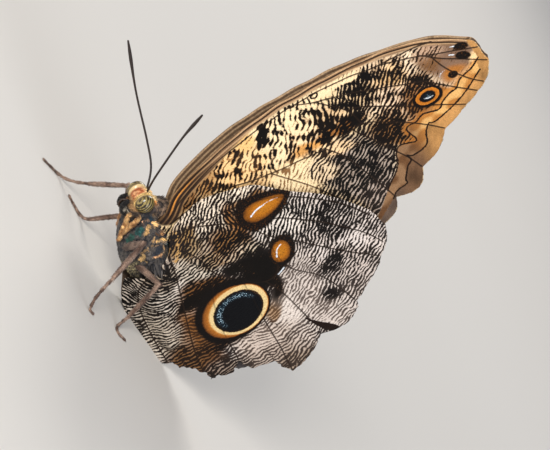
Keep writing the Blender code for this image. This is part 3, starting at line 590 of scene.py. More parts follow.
hindwingZones = [
    (11, 46.5, 8, 6, -40, 0.5, 0.6, (204, 193, 185), (18, 14, 13)),
    (20, 52, 9, 4, -40, 0.5, 0.55, (206, 195, 188), (34, 28, 26)),
    (31, 45, 6, 5, -50, 0.5, 0.56, (196, 184, 176), (60, 51, 47)),
    (22, 44, 6, 7, -40, 0.5, 0.53, (202, 189, 181), (38, 32, 29)),
    (18.5, 48.5, 2.4, 4.0, -35, 0.6, 0.42, (208, 198, 192), None),
    (14.2, 46, 2.2, 4.0, -35, 0.6, 0.72, None, (20, 16, 15)),
    (10, 49.4, 2.2, 2.6, -35, 0.6, 0.7, None, (20, 16, 15)),
    (18.6, 41.2, 2.0, 2.6, -35, 0.6, 0.42, (210, 200, 194), None),
    (26, 34.5, 8, 3.8, -10, 0.5, 0.45, (202, 190, 182), (100, 88, 82)),
    (35, 36.5, 3.4, 4.6, -60, 0.5, 0.42, (200, 188, 180), (98, 86, 79)),
    (31.0, 28.8, 6.2, 2.4, -5, 0.5, 0.26, (206, 195, 187), (134, 122, 114)),
    (37, 28.4, 4.0, 2.4, -5, 0.5, 0.44, (194, 181, 172), (80, 69, 63)),
    (38, 21, 6, 6, 0, 0.4, 0.52, (180, 164, 152), (74, 62, 55)),
    (33.4, 22, 2.6, 5.5, 0, 0.5, 0.42, (192, 177, 166), (100, 86, 77)),
    (42.5, 25, 3.0, 5, 10, 0.5, 0.58, (156, 138, 122), (58, 47, 40)),
    (-1, 28, 6, 11, 0, 0.4, 0.53, (222, 206, 186), (26, 20, 16)),
    (8, 38, 4, 6, 0, 0.5, 0.56, (220, 210, 200), (16, 13, 12)),
    (11, 17, 6, 6, -50, 0.5, 0.52, (206, 194, 178), (22, 18, 15)),
    (14, 6, 14, 7, 0, 0.3, 0.6, (196, 185, 172), (18, 14, 12)),
    (14, 12.5, 3.0, 2.2, 0, 0.5, 0.4, (214, 204, 194), (44, 36, 32)),
    (7.6, 10.8, 3.8, 3.2, 0, 0.5, 0.72, (170, 152, 132), (24, 19, 16)),
    (3.5, 19, 3.5, 3.5, 0, 0.5, 0.56, (168, 146, 112), (40, 32, 26)),
    (1.0, 16.8, 3.6, 3.2, -30, 0.5, 0.68, (150, 120, 80), (34, 29, 28)),
    (0.3, 21.0, 2.4, 2.0, -30, 0.5, 0.68, (156, 124, 80), (34, 26, 22)),
    (28, 9.5, 9.5, 3.8, -8, 0.35, 0.55, (120, 79, 42), (62, 39, 22)),
    (32.5, 8.6, 4.2, 3.4, -8, 0.5, 0.6, (98, 66, 40), (40, 26, 16)),
    (22, 4, 8, 4, 0, 0.4, 0.52, (184, 172, 156), (34, 27, 23)),
    (31, 4.5, 4, 4, 0, 0.5, 0.6, (108, 78, 50), (32, 21, 14)),
    (37.4, 10, 2.8, 5.5, 0, 0.4, 0.64, (146, 130, 118), (34, 27, 23)),
    (31.0, 14.0, 1.5, 4.2, 0, 0.5, 0.76, (92, 64, 42), (18, 12, 9)),
    (17.0, 17.4, 3.8, 6.2, -10, 0.35, 0.66, (98, 66, 38), (22, 14, 9)),
    (18.6, 17.6, 1.0, 5.4, 10, 0.5, 1.1, None, (14, 9, 7)),
    (17.6, 13.4, 1.2, 4.2, 24, 0.4, 1.15, None, (15, 10, 7)),
    (7.6, 26.6, 4.8, 4.6, -50, 0.35, 0.64, (128, 98, 64), (17, 12, 9)),
    (9.6, 22.6, 2.4, 3.6, -20, 0.6, 0.56, (172, 148, 118), (18, 13, 10)),
    (10.6, 28.0, 1.8, 4.0, -10, 0.6, 0.64, (196, 180, 158), (18, 13, 9)),
    (3, 30.3, 4.4, 1.5, 5, 0.4, 0.62, (140, 98, 60), (22, 15, 10)),
    (-0.7, 35, 0.9, 4, 0, 0.5, 0.6, (132, 96, 60), (30, 20, 14)),
    (17.2, 28.8, 5.4, 4.2, -20, 0.25, 1.16, (70, 46, 28), (13, 9, 7)),
    (18.4, 33.0, 1.6, 1.8, 0, 0.5, 0.9, (96, 62, 34), (20, 13, 8)),
    (14.6, 25.4, 2.2, 2.6, -30, 0.5, 0.98, None, (16, 11, 8)),
    (20.0, 25.2, 1.8, 2.6, 0, 0.5, 1.1, None, (15, 10, 8)),
    (23.2, 29.7, 3.6, 1.5, -22, 0.5, 1.0, (96, 66, 42), (20, 13, 9)),
    (28.4, 26.2, 2.6, 1.4, -55, 0.6, 0.62, (162, 132, 104), (98, 72, 50)),
    (22.3, 42.9, 3.2, 1.9, -45, 0.5, 0.82, None, (20, 16, 15)),
    (30.1, 38.4, 1.6, 2.4, -10, 0.5, 0.92, None, (22, 17, 16)),
]

forewingZones = [
    (-9, 73, 9, 11, 0, 0.35, 0.56, (222, 198, 168), (22, 16, 12)),
    (-7.4, 70.4, 2.4, 2.6, 20, 0.5, 0.4, (214, 188, 160), None),
    (-15.6, 72.4, 0.9, 4.4, 0, 0.5, 0.3, (206, 180, 148), None),
    (-7.5, 74.5, 1.6, 3.4, 25, 0.5, 0.76, (140, 100, 66), None),
    (-13.3, 76, 2.2, 3.4, 0, 0.5, 0.46, (226, 204, 176), None),
    (5, 57.5, 8, 7.5, -50, 0.3, 0.66, (160, 147, 136), (16, 13, 12)),
    (13.5, 57.2, 5, 3.4, -40, 0.5, 0.64, (164, 150, 140), (36, 29, 26)),
    (0, 66.8, 3.6, 4.8, -30, 0.4, 0.8, (124, 98, 70), (20, 14, 11)),
    (-14.3, 66.2, 1.7, 3.0, -6, 0.4, 1.04, None, (12, 9, 8)),
    (-11.0, 65, 3, 3, 0, 0.5, 0.72, (206, 180, 142), (15, 11, 9)),
    (-12, 71.5, 2.5, 3.6, -10, 0.6, 0.58, (214, 176, 126), None),
    (-9.5, 50, 7, 10, 0, 0.25, 0.37, (236, 210, 168), (22, 15, 11)),
    (-10.2, 57.8, 2.6, 3.6, 10, 0.5, 0.66, (206, 176, 136), (18, 13, 10)),
    (-12.6, 49.5, 1.8, 4.0, 8, 0.6, 0.44, None, None),
    (-10.6, 62.0, 2.6, 2.8, 0, 0.5, 0.74, (214, 184, 144), (15, 11, 9)),
    (-15.6, 60, 1.2, 7, 5, 0.4, 0.02, (236, 208, 166), None),
    (-5.6, 57.6, 1.8, 6.0, 5, 0.35, 0.92, (150, 98, 50), (13, 9, 8)),
    (-7.8, 54.6, 1.6, 2.4, 10, 0.5, 0.76, None, None),
    (-8.5, 46.8, 4, 3.2, 0, 0.6, 0.26, (240, 214, 172), None),
    (-4.4, 50.5, 1.2, 4, 0, 0.5, 0.4, (206, 150, 84), None),
    (-8, 36, 6, 5.5, 0, 0.35, 0.44, (232, 192, 136), (24, 17, 12)),
    (-8.6, 38.9, 3.4, 2.0, -10, 0.5, 0.2, (236, 200, 148), (60, 42, 28)),
    (-11.9, 43.9, 3.4, 1.0, -33, 0.35, 1.15, None, (14, 10, 8)),
    (-12.4, 40.0, 2.3, 2.6, 10, 0.4, 0.0, (226, 184, 122), None),
    (-8, 29, 3, 3.5, 30, 0.4, 0.5, (176, 136, 88), (44, 32, 23)),
    (-6, 23, 3, 4, 30, 0.4, 0.55, (128, 98, 66), (36, 27, 20)),
    (-2.2, 37, 2, 9, 0, 0.4, 0.3, (220, 184, 134), (60, 44, 30)),
    (1.2, 45.3, 4.6, 4.4, -40, 0.35, 0.24, (228, 204, 162), (140, 102, 64)),
    (0.6, 50.6, 2.8, 3.0, -30, 0.4, 0.44, (218, 194, 160), (46, 33, 23)),
    (-1.2, 55.4, 1.3, 3.4, -12, 0.5, 0.4, (222, 190, 148), (44, 31, 22)),
    (-3.6, 75.5, 3.2, 4.4, 0, 0.4, 0.6, (116, 76, 42), (34, 22, 14)),
    (-3.6, 79.6, 1.6, 1.6, 20, 0.5, 0.0, (150, 94, 40), None),
    (-11, 83.2, 5.4, 5.6, 12, 0.25, 0.0, (120, 94, 76), None),
    (-10.4, 79.6, 2.0, 1.8, 20, 0.5, 0.2, (112, 80, 54), None),
    (-13.4, 80.6, 2.2, 2.4, 0, 0.6, 0.42, (176, 146, 122), (60, 44, 34)),
    (-8.4, 87.5, 1.5, 0.9, -42, 0.4, -0.1, (232, 196, 146), None),
    (-6.4, 83.0, 1.3, 2.4, 10, 0.5, -0.1, (160, 102, 46), None),
    (-2.6, 80.2, 1.2, 6.8, 24, 0.45, -0.15, (180, 120, 56), None),
    (-6.6, 87.2, 1.0, 1.8, 30, 0.5, -0.1, (196, 138, 76), None),
]

# How blotchy the ripples are, and how much ochre lines the dark ones
forewingBlotch = [(-9, 45, 8, 17, 0, 0.3, 0.42), (4, 58, 9, 8, -50, 0.4, 0.16), (-9, 72, 8, 8, 0, 0.4, 0.2),
                  (-7, 25, 4, 5, 0, 0.4, 0.15)]
forewingWarm = [(-8, 36, 7, 8, 0, 0.4, 0.8), (-7, 52, 5, 8, 0, 0.4, 0.6), (-10, 74, 7, 9, 0, 0.4, 0.45),
                (-1, 68, 4, 5, 0, 0.5, 0.7), (-6, 24, 4, 5, 0, 0.4, 0.7)]
hindwingWarm = [(27, 9.5, 10, 4.5, -8, 0.4, 0.25), (17.5, 17, 4, 6, -14, 0.4, 0.5),
                (7, 26, 5, 4, -50, 0.4, 0.55), (3, 31, 4.5, 2.5, 0, 0.4, 0.7), (5, 18, 4, 4, 0, 0.5, 0.3)]

# The pale border of the forewing: where it starts and the second dark line within it
borderInner = [(-7.6, 88.4), (-6.0, 86.4), (-4.7, 83.3), (-3.1, 81.8), (-2.7, 80.2), (-1.6, 78.2),
               (-0.2, 76.7),
               (-0.8, 73.6), (0.2, 71.6), (0.4, 69.8), (1.3, 69.1), (4.4, 69.8), (3.8, 66.4), (5.3, 64.9),
               (7.4, 64.3), (9.6, 62.7), (11.0, 61.2), (12.6, 59.6)]
borderOuter = [(-4.9, 87.6), (-2.4, 84.4), (-1.1, 82.4), (0.7, 78.9), (2.1, 74.7), (1.8, 73.6), (3.6, 72.2),
               (6.2, 71.1), (7.4, 67.6), (6.7, 66.6), (8.2, 66.9), (9.3, 65.6), (11.8, 64.0), (12.9, 63.8),
               (13.6, 61.3), (14.9, 59.8)]


def glints(p, streaks, thinner):
    # distance from the nearest painted glint, a short streak of painted highlight, each one thinner by its
    # own measure
    return np.min([distanceTo(p, curvePoints(s, 0.3)) + thin for s, thin in zip(streaks, thinner)], axis=0)


def markHindwing(x, z):
    field, low = fields["hind"]
    marks = dict(ripple=readField(field, low, x, z))
    dark, light, shade = layZones(x, z, hindwingZones, (0.52, (198, 188, 180), (42, 35, 33)), 21)
    p = np.stack([x, z], axis=1)

    # the great false eye: pupil, cream ring, orange crescent low on the outside, black ring
    r, angle = radial(x, z, 24.75, 20.1, 4.5, 6.0, 28.0)
    cream = 1.18 + 0.07 * facing(angle, 189.0) + 0.03 * facing(angle, 99.0) - 0.03 * facing(angle, -6.0)
    amber = cream + 0.02 + 0.24 * facing(angle, -106.0) ** 0.7
    black = amber + 0.1 + 0.4 * facing(angle, -170.0) + 0.22 * facing(angle, -50.0) ** 2
    marks["eye"] = rings(r, [1.0, cream, amber, black])
    marks["glow"] = smooth((r - 1.0) / 0.12) * (0.25 + 0.75 * facing(angle, -106.0))
    arc = np.clip(np.cos(angle - math.radians(-152.0)) + 0.25, 0.0, 1.0) ** 0.5
    marks["dots"] = np.exp(-((r - 0.77) / 0.12) ** 2) * arc

    # two orange drops in black surrounds, with glints
    r1, a1 = radial(x, z, 2.95, 36.7, 2.15, 4.75, 8.0, 0.36)
    surround1 = 1.34 + 0.42 * np.abs(np.cos(a1)) ** 2 - 0.02 * np.cos(a1)
    r2, a2 = radial(x, z, 14.6, 34.65, 2.95, 1.95, -30.0)
    surround2 = 1.36 + 0.2 * np.cos(a2 - 1.78)
    marks["drop"] = np.minimum(rings(r1, [1.0, surround1]), rings(r2, [1.0, surround2]))
    marks["pearl"] = glints(
        p, [[(2.2, 40.0), (2.15, 37.8), (2.5, 36.0)], [(2.35, 36.8), (2.75, 34.9), (3.6, 33.4)],
            [(12.9, 35.5), (13.8, 34.2), (15.6, 33.3)], [(18.9, 33.4), (20.1, 31.5)]],
        (0.1, 0.0, 0.04, 0.02))

    # painted shadow in a fold at the margin, and ochre flecks down the root, beside the chest
    fold = distanceTo(p, curvePoints([(33.6, 31.4), (36.0, 32.9), (38.9, 35.2)], 0.4))
    marks["line"] = fold - 0.1 - 0.75 * smooth((x - 34.0) / 4.5)
    dark += 0.07 * wobble(x, z, 0.5, 23) + 0.06 * wobble(x, z, 1.2, 24)
    rootLine = distanceTo(p, curvePoints([(-1.1, 18.9), (1.6, 18.0), (4.2, 16.8), (5.8, 15.4)], 0.4))
    flecks = smooth((0.26 - rootLine + 0.45 * wobble(x, z, 0.24, 26)) / 0.25) * smooth((0.9 - rootLine) / 0.3)
    layOver(light, (186, 144, 88), flecks)
    dark += (-0.2 - dark) * flecks
    marks.update(dark=threshold(dark), light=light, shade=shade, warm=blend(x, z, hindwingWarm, 0.08, 25),
                 costal=np.zeros_like(r), alongFront=np.zeros_like(r))
    return marks


def markForewing(x, z):
    field, low = fields["fore"]
    marks = dict(ripple=readField(field, low, x, z))
    dark, light, shade = layZones(x, z, forewingZones, (0.5, (226, 200, 156), (30, 24, 20)), 31)
    dark += blend(x, z, forewingBlotch, 0.1, 33) * (0.7 * wobble(x, z, 0.42, 34)
                                                    + 0.5 * wobble(x, z, 0.9, 35))
    p = np.stack([x, z], axis=1)

    # brown strip with lengthwise lines along the front edge
    costa = distanceTo(p, curvePoints(forewingCosta, 1.0))
    strip = 1.0 - smooth((costa - 1.0 - 1.5 * smooth((44 - z) / 16)) / 0.7)
    alongFront = distanceTo(p, curvePoints([(-2.2, 12.0), (-3.8, 15.4), *forewingCosta], 1.0))
    root = smooth((36.0 - z) / 10.0)
    bands = (0.5 + 0.5 * np.sin(alongFront * frontLines + 1.5 * wobble(x, z, 2.6, 40))) ** (2 + 3 * root)
    bands = bands * (1.0 - 0.6 * smooth((23.0 - z) / 4.0))
    stripColour = between(between((112, 84, 60), (42, 31, 26), root),
                          between((182, 148, 112), (164, 124, 82), root), bands)
    stripColour *= (0.18 + 0.82 * smooth((z - 15.4) / 4.2))[:, None]
    # an orange line along the front vein: the vein's own orange and a painted highlight on it
    glow = np.exp(-((alongFront - 0.9) / 0.14) ** 2) * smooth((29.0 - z) / 5.0) * smooth((z - 18.5) / 3.0)
    layOver(stripColour, (226, 146, 58), glow)
    dark += (-0.3 - dark) * strip
    layOver(light, stripColour, strip)

    # pale border, tan outside and ochre and cream between its two dark lines
    inner = curvePoints(borderInner, 0.5)
    outer = curvePoints(borderOuter, 0.5)
    margin = np.array(forewingMargin())[::-1]

    def beyond(line):
        return np.where(insideOf(p, np.vstack([line, margin])), 1.0, -1.0) * distanceTo(p, line)

    side = beyond(inner)
    cover = smooth((side + 0.15) / 0.3)
    outside = smooth((beyond(outer) + 0.2) / 0.4)
    low = smooth((74.0 - z) / 6.0)
    paleBand = between(between((170, 112, 52), (94, 64, 40), low),
                       between((206, 160, 98), (130, 99, 71), low),
                       smooth(0.5 + 0.8 * wobble(x, z, 0.9, 41)))
    tanBand = between((182, 134, 80), (106, 78, 56), low)
    layOver(tanBand, (94, 77, 66), smooth((65.0 - z) / 6.0))
    tanBand *= (0.86 + 0.14 * wobble(x, z, 1.3, 42) + 0.1 * wobble(x, z, 0.45, 43))[:, None]
    dark += (-0.3 - dark) * cover
    layOver(light, between(paleBand, tanBand, outside), cover)
    amber = np.exp(-((side + 0.4) / 0.6) ** 2) * smooth((76.0 - z) / 3.0) * smooth((z - 65.0) / 3.0)
    layOver(light, (150, 94, 38), amber)
    dark -= 0.6 * amber
    lines = [inner, outer, curvePoints([(-1.5, 54.0), (-0.8, 50.2), (0.5, 48.6), (2.5, 47.8)], 0.4),
             curvePoints([(-16.0, 57.3), (-15.4, 55.9), (-14.8, 56.8), (-15.6, 57.5), (-16.0, 56.0)], 0.3)]
    marks["line"] = np.min([distanceTo(p, path) for path in lines], axis=0)

    # the small eye, the tip spots and their glints
    r, angle = radial(x, z, -4.1, 76.0, 1.75, 2.55, 4.0)
    marks["eye"] = rings(r, [0.7, 1.0, 1.02, 1.28 + 0.1 * np.cos(angle)])
    marks["glow"] = np.zeros_like(r)
    marks["dots"] = 0.5 * np.exp(-(r / 0.42) ** 2)
    marks["drop"] = np.min([radial(x, z, *spot)[0] for spot in (
        (-11.6, 86.5, 0.85, 1.4, -14.0), (-9.4, 86.0, 0.95, 1.4, -20.0), (-6.3, 82.5, 0.8, 0.95))], axis=0)
    marks["pearl"] = glints(p, [[(-3.75, 77.0), (-3.7, 76.1), (-4.0, 75.2)], [(-12.2, 85.4), (-12.4, 84.6)],
                                [(-10.3, 84.6), (-10.7, 83.6)], [(-8.0, 81.4), (-7.7, 80.6), (-7.0, 80.0)]],
                            (0.06, 0.06, 0.06, 0.08))
    marks.update(dark=threshold(dark), light=light, shade=shade, costal=strip, alongFront=alongFront,
                 warm=blend(x, z, forewingWarm, 0.15, 36) * (1.0 - np.maximum(strip, cover)))
    return marks


# Wing materials

def wingMaterial(name, eyeStops, dropStops, dropEnds, paintedGlintWidth):
    material, s, surface = startMaterial(name, 0.7, Specular_IOR_Level=0.12)
    scales = s.node("Group", {"Ripple": s.value("ripple"), "Split": s.value("dark"),
                              "Light": s.colour("light"), "Shade": s.colour("shade"), "Warm": s.value("warm"),
                              "Vein": s.value("vein"), "Line": s.value("line")},
                    node_tree=rippledScales).outputs
    colour, fray = scales["Colour"], scales["Fray"]
    # drops, then the eye over them
    drop = s.addScaled(s.value("drop"), fray, 0.22)
    speck = s.step(s.noise(cellsPerMetre["specks"], 1.0, 0.5), 0.56, 0.7)
    dropColour = s.ramp(s.math("DIVIDE", drop, 3.0), dropStops)
    dropColour = s.mix(s.math("MULTIPLY", speck, 0.55), dropColour, linear((96, 56, 18)))
    colour = s.mix(s.step(drop, dropEnds[0], dropEnds[1]), dropColour, colour)
    eye = s.addScaled(s.value("eye"), fray, 0.3)
    eyeColour = s.ramp(s.math("DIVIDE", eye, 5.0), eyeStops)
    ringGlow = s.math("MULTIPLY", s.value("glow"), s.step(eye, 1.6, 2.0))
    ringGlow = s.math("MULTIPLY", ringGlow, s.step(eye, 2.3, 2.0))
    eyeColour = s.mix(s.math("MULTIPLY", ringGlow, 0.7), eyeColour, linear((196, 128, 52)))
    colour = s.mix(s.step(eye, 3.7, 4.1), eyeColour, colour)
    colour = s.mix(s.math("MULTIPLY", scales["Vein"], 0.4), colour, linear((26, 18, 13)))
    # pale blue scales in the pupil and glints on the drops
    cells = s.node("TexVoronoi", {"Scale": cellsPerMetre["specks"], "Vector": s.place()}, feature="F1")
    dot = s.math("MULTIPLY", s.step(cells.outputs["Distance"], 0.45, 0.22),
                 s.step(s.value("dots"), 0.2, 0.85))
    haze = s.math("MULTIPLY", s.step(s.value("dots"), 0.0, 1.0), 0.35)
    colour = s.mix(haze, colour, linear((24, 58, 76)))
    colour = s.mix(dot, colour, linear((176, 208, 226)))
    # painted highlight: pale glints on the drops, in the small eye's pupil and on the tip spots
    pearl = s.step(s.addScaled(s.value("pearl"), fray, 0.5), paintedGlintWidth, paintedGlintWidth * 0.4)
    colour = s.mix(pearl, colour, linear("pearl"))
    grain = s.grained(colour, cellsPerMetre["wing"], 0.68, 1.28)
    height = s.math("ADD", s.math("MULTIPLY", grain["Height"], 0.4), scales["Height"])
    s.finish(surface, grain["Colour"], height, 0.8, 0.00008)
    return material


def dorsalMaterial():
    material, s, surface = startMaterial("wingUpperSide", 0.6, Specular_IOR_Level=0.3, Sheen_Weight=0.1)
    sweep = s.noise(cellsPerMetre["sweep"], 2.0, 0.5)
    base = s.mix(s.step(sweep, 0.35, 0.7), linear((98, 78, 60)), linear((58, 52, 54)))
    lines = s.step(s.math("SINE", s.math("MULTIPLY", s.value("alongFront"), frontLines)), -0.4, 0.9)
    front = s.mix(lines, linear((102, 79, 59)), linear((182, 152, 118)))
    base = s.mix(s.value("costal"), base, front)
    grain = s.grained(base, cellsPerMetre["wingUpper"], 0.5, 1.15)
    s.finish(surface, grain["Colour"], grain["Height"], 0.3, 0.00004)
    return material


# Wing meshes

def closed(outline):
    return np.vstack([outline, outline[:1]])


def layoutSheet(outline, rim, grid, margin):
    # a flat mesh of even triangles: the rim's points first, then staggered rows inside
    low, high = outline.min(axis=0), outline.max(axis=0)
    rows = []
    for k, z in enumerate(np.arange(low[1], high[1], grid * 0.866)):
        row = np.arange(low[0] + (k % 2) * grid / 2, high[0], grid)
        rows.append(np.stack([row, np.full(len(row), z)], 1))
    spots = np.concatenate(rows)
    spots = spots[insideOf(spots, outline)]
    spots = spots[distanceTo(spots, closed(outline)) > margin]
    points = [tuple(p) for p in rim] + [tuple(p) for p in spots]
    edges = [(i, (i + 1) % len(rim)) for i in range(len(rim))]
    flat, _, triangles, origins, _, _ = delaunay_2d_cdt([Vector(p) for p in points], edges, [], 0, 1e-5)
    flat = np.array([tuple(p) for p in flat])
    triangles = np.array([tuple(t) for t in triangles])
    triangles = triangles[insideOf(flat[triangles].mean(axis=1), outline)]
    rimPlaces = np.full(len(rim), -1)
    for place, sources in enumerate(origins):
        for source in sources:
            if source < len(rim):
                rimPlaces[source] = place
    return flat, triangles, rimPlaces


def sheetForm(spots, outline, gap):
    # the sheet's middle, half its thickness, its gentle waves and the distance from its rim
    x, z = spots[:, 0], spots[:, 1]
    edge = distanceTo(spots, closed(outline))
    inward = smooth(edge / wing["rimWidth"])
    thick = wing["rimMembrane"] + (wing["membrane"] - wing["rimMembrane"]) * inward
    waves = wing["waves"] * wobble(x, z, 2.2, 51) * smooth((np.hypot(x - 2, z - 17) - 12) / 30)
    return gap(x, z) + wing["depth"] / 2, thick / 2, waves, edge


def wingPiece(name, node, way, outline, veins, gap, marks, material):
    rim = evenRim(outline, wing["grid"])
    outer, outerFaces, outerRim = layoutSheet(outline, rim, wing["grid"], wing["grid"] * 0.55)
    inner, innerFaces, innerRim = layoutSheet(outline, rim, wing["innerGrid"], 0.3)
    x, z = outer[:, 0], outer[:, 1]
    ix, iz = inner[:, 0], inner[:, 1]
    vein = np.min([distanceTo(outer, curvePoints(path, 0.8)) for path in veins], axis=0)
    rise = wing["veinRise"] * np.exp(-(vein / wing["veinHalfWidth"] * 1.5) ** 2)
    middle, half, waves, edge = sheetForm(outer, outline, gap)
    bulge = wing["bulge"] * smooth(vein / 2.5) * smooth(edge / 1.5)
    outerY = middle + half + rise + bulge + waves
    middle, half, waves, edge = sheetForm(inner, outline, gap)
    innerY = middle - half + waves
    points = np.concatenate([np.stack([x, way * outerY, z], 1), np.stack([ix, way * innerY, iz], 1)])
    count = len(outer)
    faces = [tuple(t) for t in (outerFaces if way < 0 else outerFaces[:, ::-1])]
    faces += [tuple(t + count) for t in (innerFaces[:, ::-1] if way < 0 else innerFaces)]
    kinds = [0] * len(outerFaces) + [1] * len(innerFaces)
    for i in range(len(rim)):
        j = (i + 1) % len(rim)
        a, b, c, d = outerRim[i], outerRim[j], innerRim[j] + count, innerRim[i] + count
        faces.append((a, b, c, d) if way < 0 else (d, c, b, a))
        kinds.append(0)
    piece = meshPiece(name, points, faces, [material, dorsal], kinds)
    for key, values in marks(np.concatenate([x, ix]), np.concatenate([z, iz])).items():
        addValues(piece, key, values)
    addValues(piece, "vein", np.concatenate([vein, np.full(len(ix), 9.0)]))
    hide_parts(node)
    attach(piece, "root")
    print(name, len(faces), "faces")


fields = dict(fore=(rippleField(forewingRun, (-20.0, 13.0), (24.0, 92.0), ripple["seed"]), (-20.0, 13.0)),
              hind=(rippleField(hindwingRun, (-7.0, -2.0), (47.0, 58.0), ripple["seed"] + 1), (-7.0, -2.0)))
print("ripple fields grown")

dorsal = dorsalMaterial()
hindwingMaterial = wingMaterial(
    "hindwingScales",
    [(0.0, "pupil"), (0.19, "pupil"), (0.207, (70, 46, 22)), (0.225, (232, 204, 146)),
     (0.385, (236, 206, 148)), (0.41, (176, 108, 40)), (0.54, (140, 82, 32)), (0.61, "ink"), (0.8, "ink")],
    [(0.0, (196, 126, 34)), (0.2, (182, 110, 26)), (0.3, (130, 76, 22)), (0.345, "ink"), (0.66, "ink")],
    (1.85, 2.15), 0.22)
forewingMaterial = wingMaterial(
    "forewingScales",
    [(0.0, "pupil"), (0.18, "pupil"), (0.21, (190, 112, 32)), (0.38, (204, 124, 40)), (0.43, "ink"),
     (0.8, "ink")],
    [(0.0, "ink"), (0.3, "ink"), (0.36, (50, 34, 22)), (0.5, (90, 62, 40)), (0.66, (110, 80, 54))],
    (0.95, 1.2), 0.24)

for word, way in (("left", -1), ("right", 1)):
    wingPiece("forewing" + word.title(), "forewing_" + word, way, forewingOutline(), forewingVeins,
              wingGap, markForewing, forewingMaterial)
    wingPiece("hindwing" + word.title(), "hindwing_" + word, way, hindwingOutline(word == "left"),
              hindwingVeins, hindwingGap, markHindwing, hindwingMaterial)


# Body: one skin over chest, neck, head and belly; neck, face, ruff and waist are balls that fill it out

body = dict(voxel=0.2, smoothing=5, inset=0.15, pitch=24.0, bellyFrom=7.2,
            neck=[(-8.0, 0.0, 14.7, 2.5), (-7.0, 0.0, 13.9, 3.0)],
            face=[(-10.7, -0.15, 16.1, 1.5), (-9.7, 0.1, 17.3, 1.1)],
            ruff=[(-7.5, 0.0, 17.1, 1.7), (-6.3, 0.0, 18.1, 1.7), (-4.9, 0.0, 18.2, 1.7),
                  (-3.6, 0.0, 17.6, 1.6)],
            waist=[(7.3, 0.0, 8.0, 2.2), (8.2, 0.0, 7.7, 2.1)])
head = dict(centre=(-9.8, 0.0, 15.85), left=(1.2, -4.0, 1.1), nose=(-0.98, 0.0, 0.17), eyeRadius=2.0,
            eyeDepth=1.55, eyeSpread=2.15, eyeMargin=0.12, reach=3.1)
headCentre = Vector(head["centre"])
headLeft = Vector(head["left"]).normalized()
headNose = (Vector(head["nose"]) - headLeft * Vector(head["nose"]).dot(headLeft)).normalized()
headUp = headNose.cross(headLeft)
headUp = headUp if headUp.z > 0 else -headUp
chestPitch, chestMiddle = math.radians(body["pitch"]), (0.0, 0.0, 11.1)
chestBack = np.array([math.cos(chestPitch), 0.0, -math.sin(chestPitch)])
chestUp = np.array([math.sin(chestPitch), 0.0, math.cos(chestPitch)])

# Markings on the left side of the chest, mirrored to the right: ends of each stroke, half width, colour
chestStrokes = [
    ((-5.2, -0.9, 16.8), (-4.8, -1.2, 16.8), 0.8, (74, 88, 92)),
    ((-5.5, -2.1, 15.9), (-5.2, -2.3, 15.7), 0.7, (26, 48, 62)),
    ((-4.9, -3.4, 13.1), (-4.6, -3.5, 12.5), 0.75, (40, 88, 86)),
    ((-4.6, -3.5, 11.1), (-3.8, -3.4, 9.8), 0.6, (44, 84, 76)),
    ((0.7, -2.5, 15.8), (1.3, -2.2, 15.7), 0.45, (44, 84, 84)),
    ((-1.9, -1.8, 16.8), (-2.5, -2.0, 16.7), 0.6, (122, 104, 100)),
    ((-5.1, 0.6, 16.7), (-5.7, -1.3, 16.4), 0.34, (218, 168, 104)),
    ((-4.6, -2.6, 15.7), (-4.6, -3.1, 14.8), 0.36, (214, 170, 112)),
    ((-4.6, -3.1, 14.8), (-3.7, -3.6, 13.6), 0.38, (214, 170, 112)),
    ((-2.2, -1.4, 17.0), (-3.3, -1.9, 16.7), 0.42, (196, 120, 62)),
    ((-2.4, -2.8, 15.9), (-2.1, -3.3, 15.3), 0.3, (176, 126, 78)),
    ((0.3, -1.3, 16.4), (-0.2, -2.5, 15.9), 0.28, (216, 172, 100)),
    ((-0.2, -2.5, 15.9), (-0.7, -3.5, 14.8), 0.32, (224, 180, 116)),
    ((-2.0, -3.6, 14.5), (-0.7, -3.8, 13.7), 0.32, (206, 164, 110)),
    ((-1.9, -4.0, 12.6), (-2.5, -3.9, 11.8), 0.2, (206, 164, 130)),
    ((-0.4, -4.0, 12.4), (0.0, -4.1, 10.6), 0.24, (206, 164, 112)),
    ((0.8, -4.1, 10.8), (1.1, -4.0, 9.7), 0.42, (216, 176, 116)),
    ((1.3, -4.1, 10.5), (2.4, -4.0, 10.5), 0.28, (216, 176, 116)),
    ((-5.7, -2.4, 15.3), (-5.9, -2.7, 14.3), 0.28, (206, 160, 124)),
    ((1.2, -3.2, 14.5), (1.5, -3.8, 13.1), 0.75, (46, 50, 60)),
    ((0.0, -3.6, 14.2), (1.0, -2.9, 15.1), 0.2, (222, 176, 128)),
    ((1.0, -2.9, 15.1), (2.7, -2.4, 14.9), 0.22, (222, 176, 122)),
    ((2.7, -2.4, 14.9), (3.0, -3.0, 14.0), 0.24, (222, 176, 122)),
    ((3.0, -3.0, 14.0), (2.2, -3.8, 12.3), 0.24, (222, 170, 122)),
    ((-4.9, -3.4, 12.2), (-5.6, -3.1, 13.2), 0.1, (12, 10, 12)),
    ((-5.6, -3.1, 13.2), (-5.4, -2.7, 14.8), 0.1, (12, 10, 12)),
    ((-0.5, -3.9, 13.0), (0.1, -3.2, 15.1), 0.12, (12, 10, 12)),
    ((0.1, -3.2, 15.1), (1.6, -2.1, 15.6), 0.12, (12, 10, 12)),
    ((-0.1, -4.0, 9.4), (0.4, -4.1, 11.9), 0.13, (12, 10, 12)),
]


def soft3(points, size, seed):
    # smooth random values over space, about -1 to 1
    rng = np.random.default_rng(seed)
    total = np.zeros(len(points))
    for _ in range(9):
        total += np.sin(points @ rng.normal(0, 1 / size, 3) + rng.uniform(0, 2 * math.pi))
    return total / 3.0


def alongHead(points):
    # forward, left and up from the head's middle
    local = points - np.array(headCentre)
    return [local @ np.array(axis) for axis in (headNose, headLeft, headUp)]


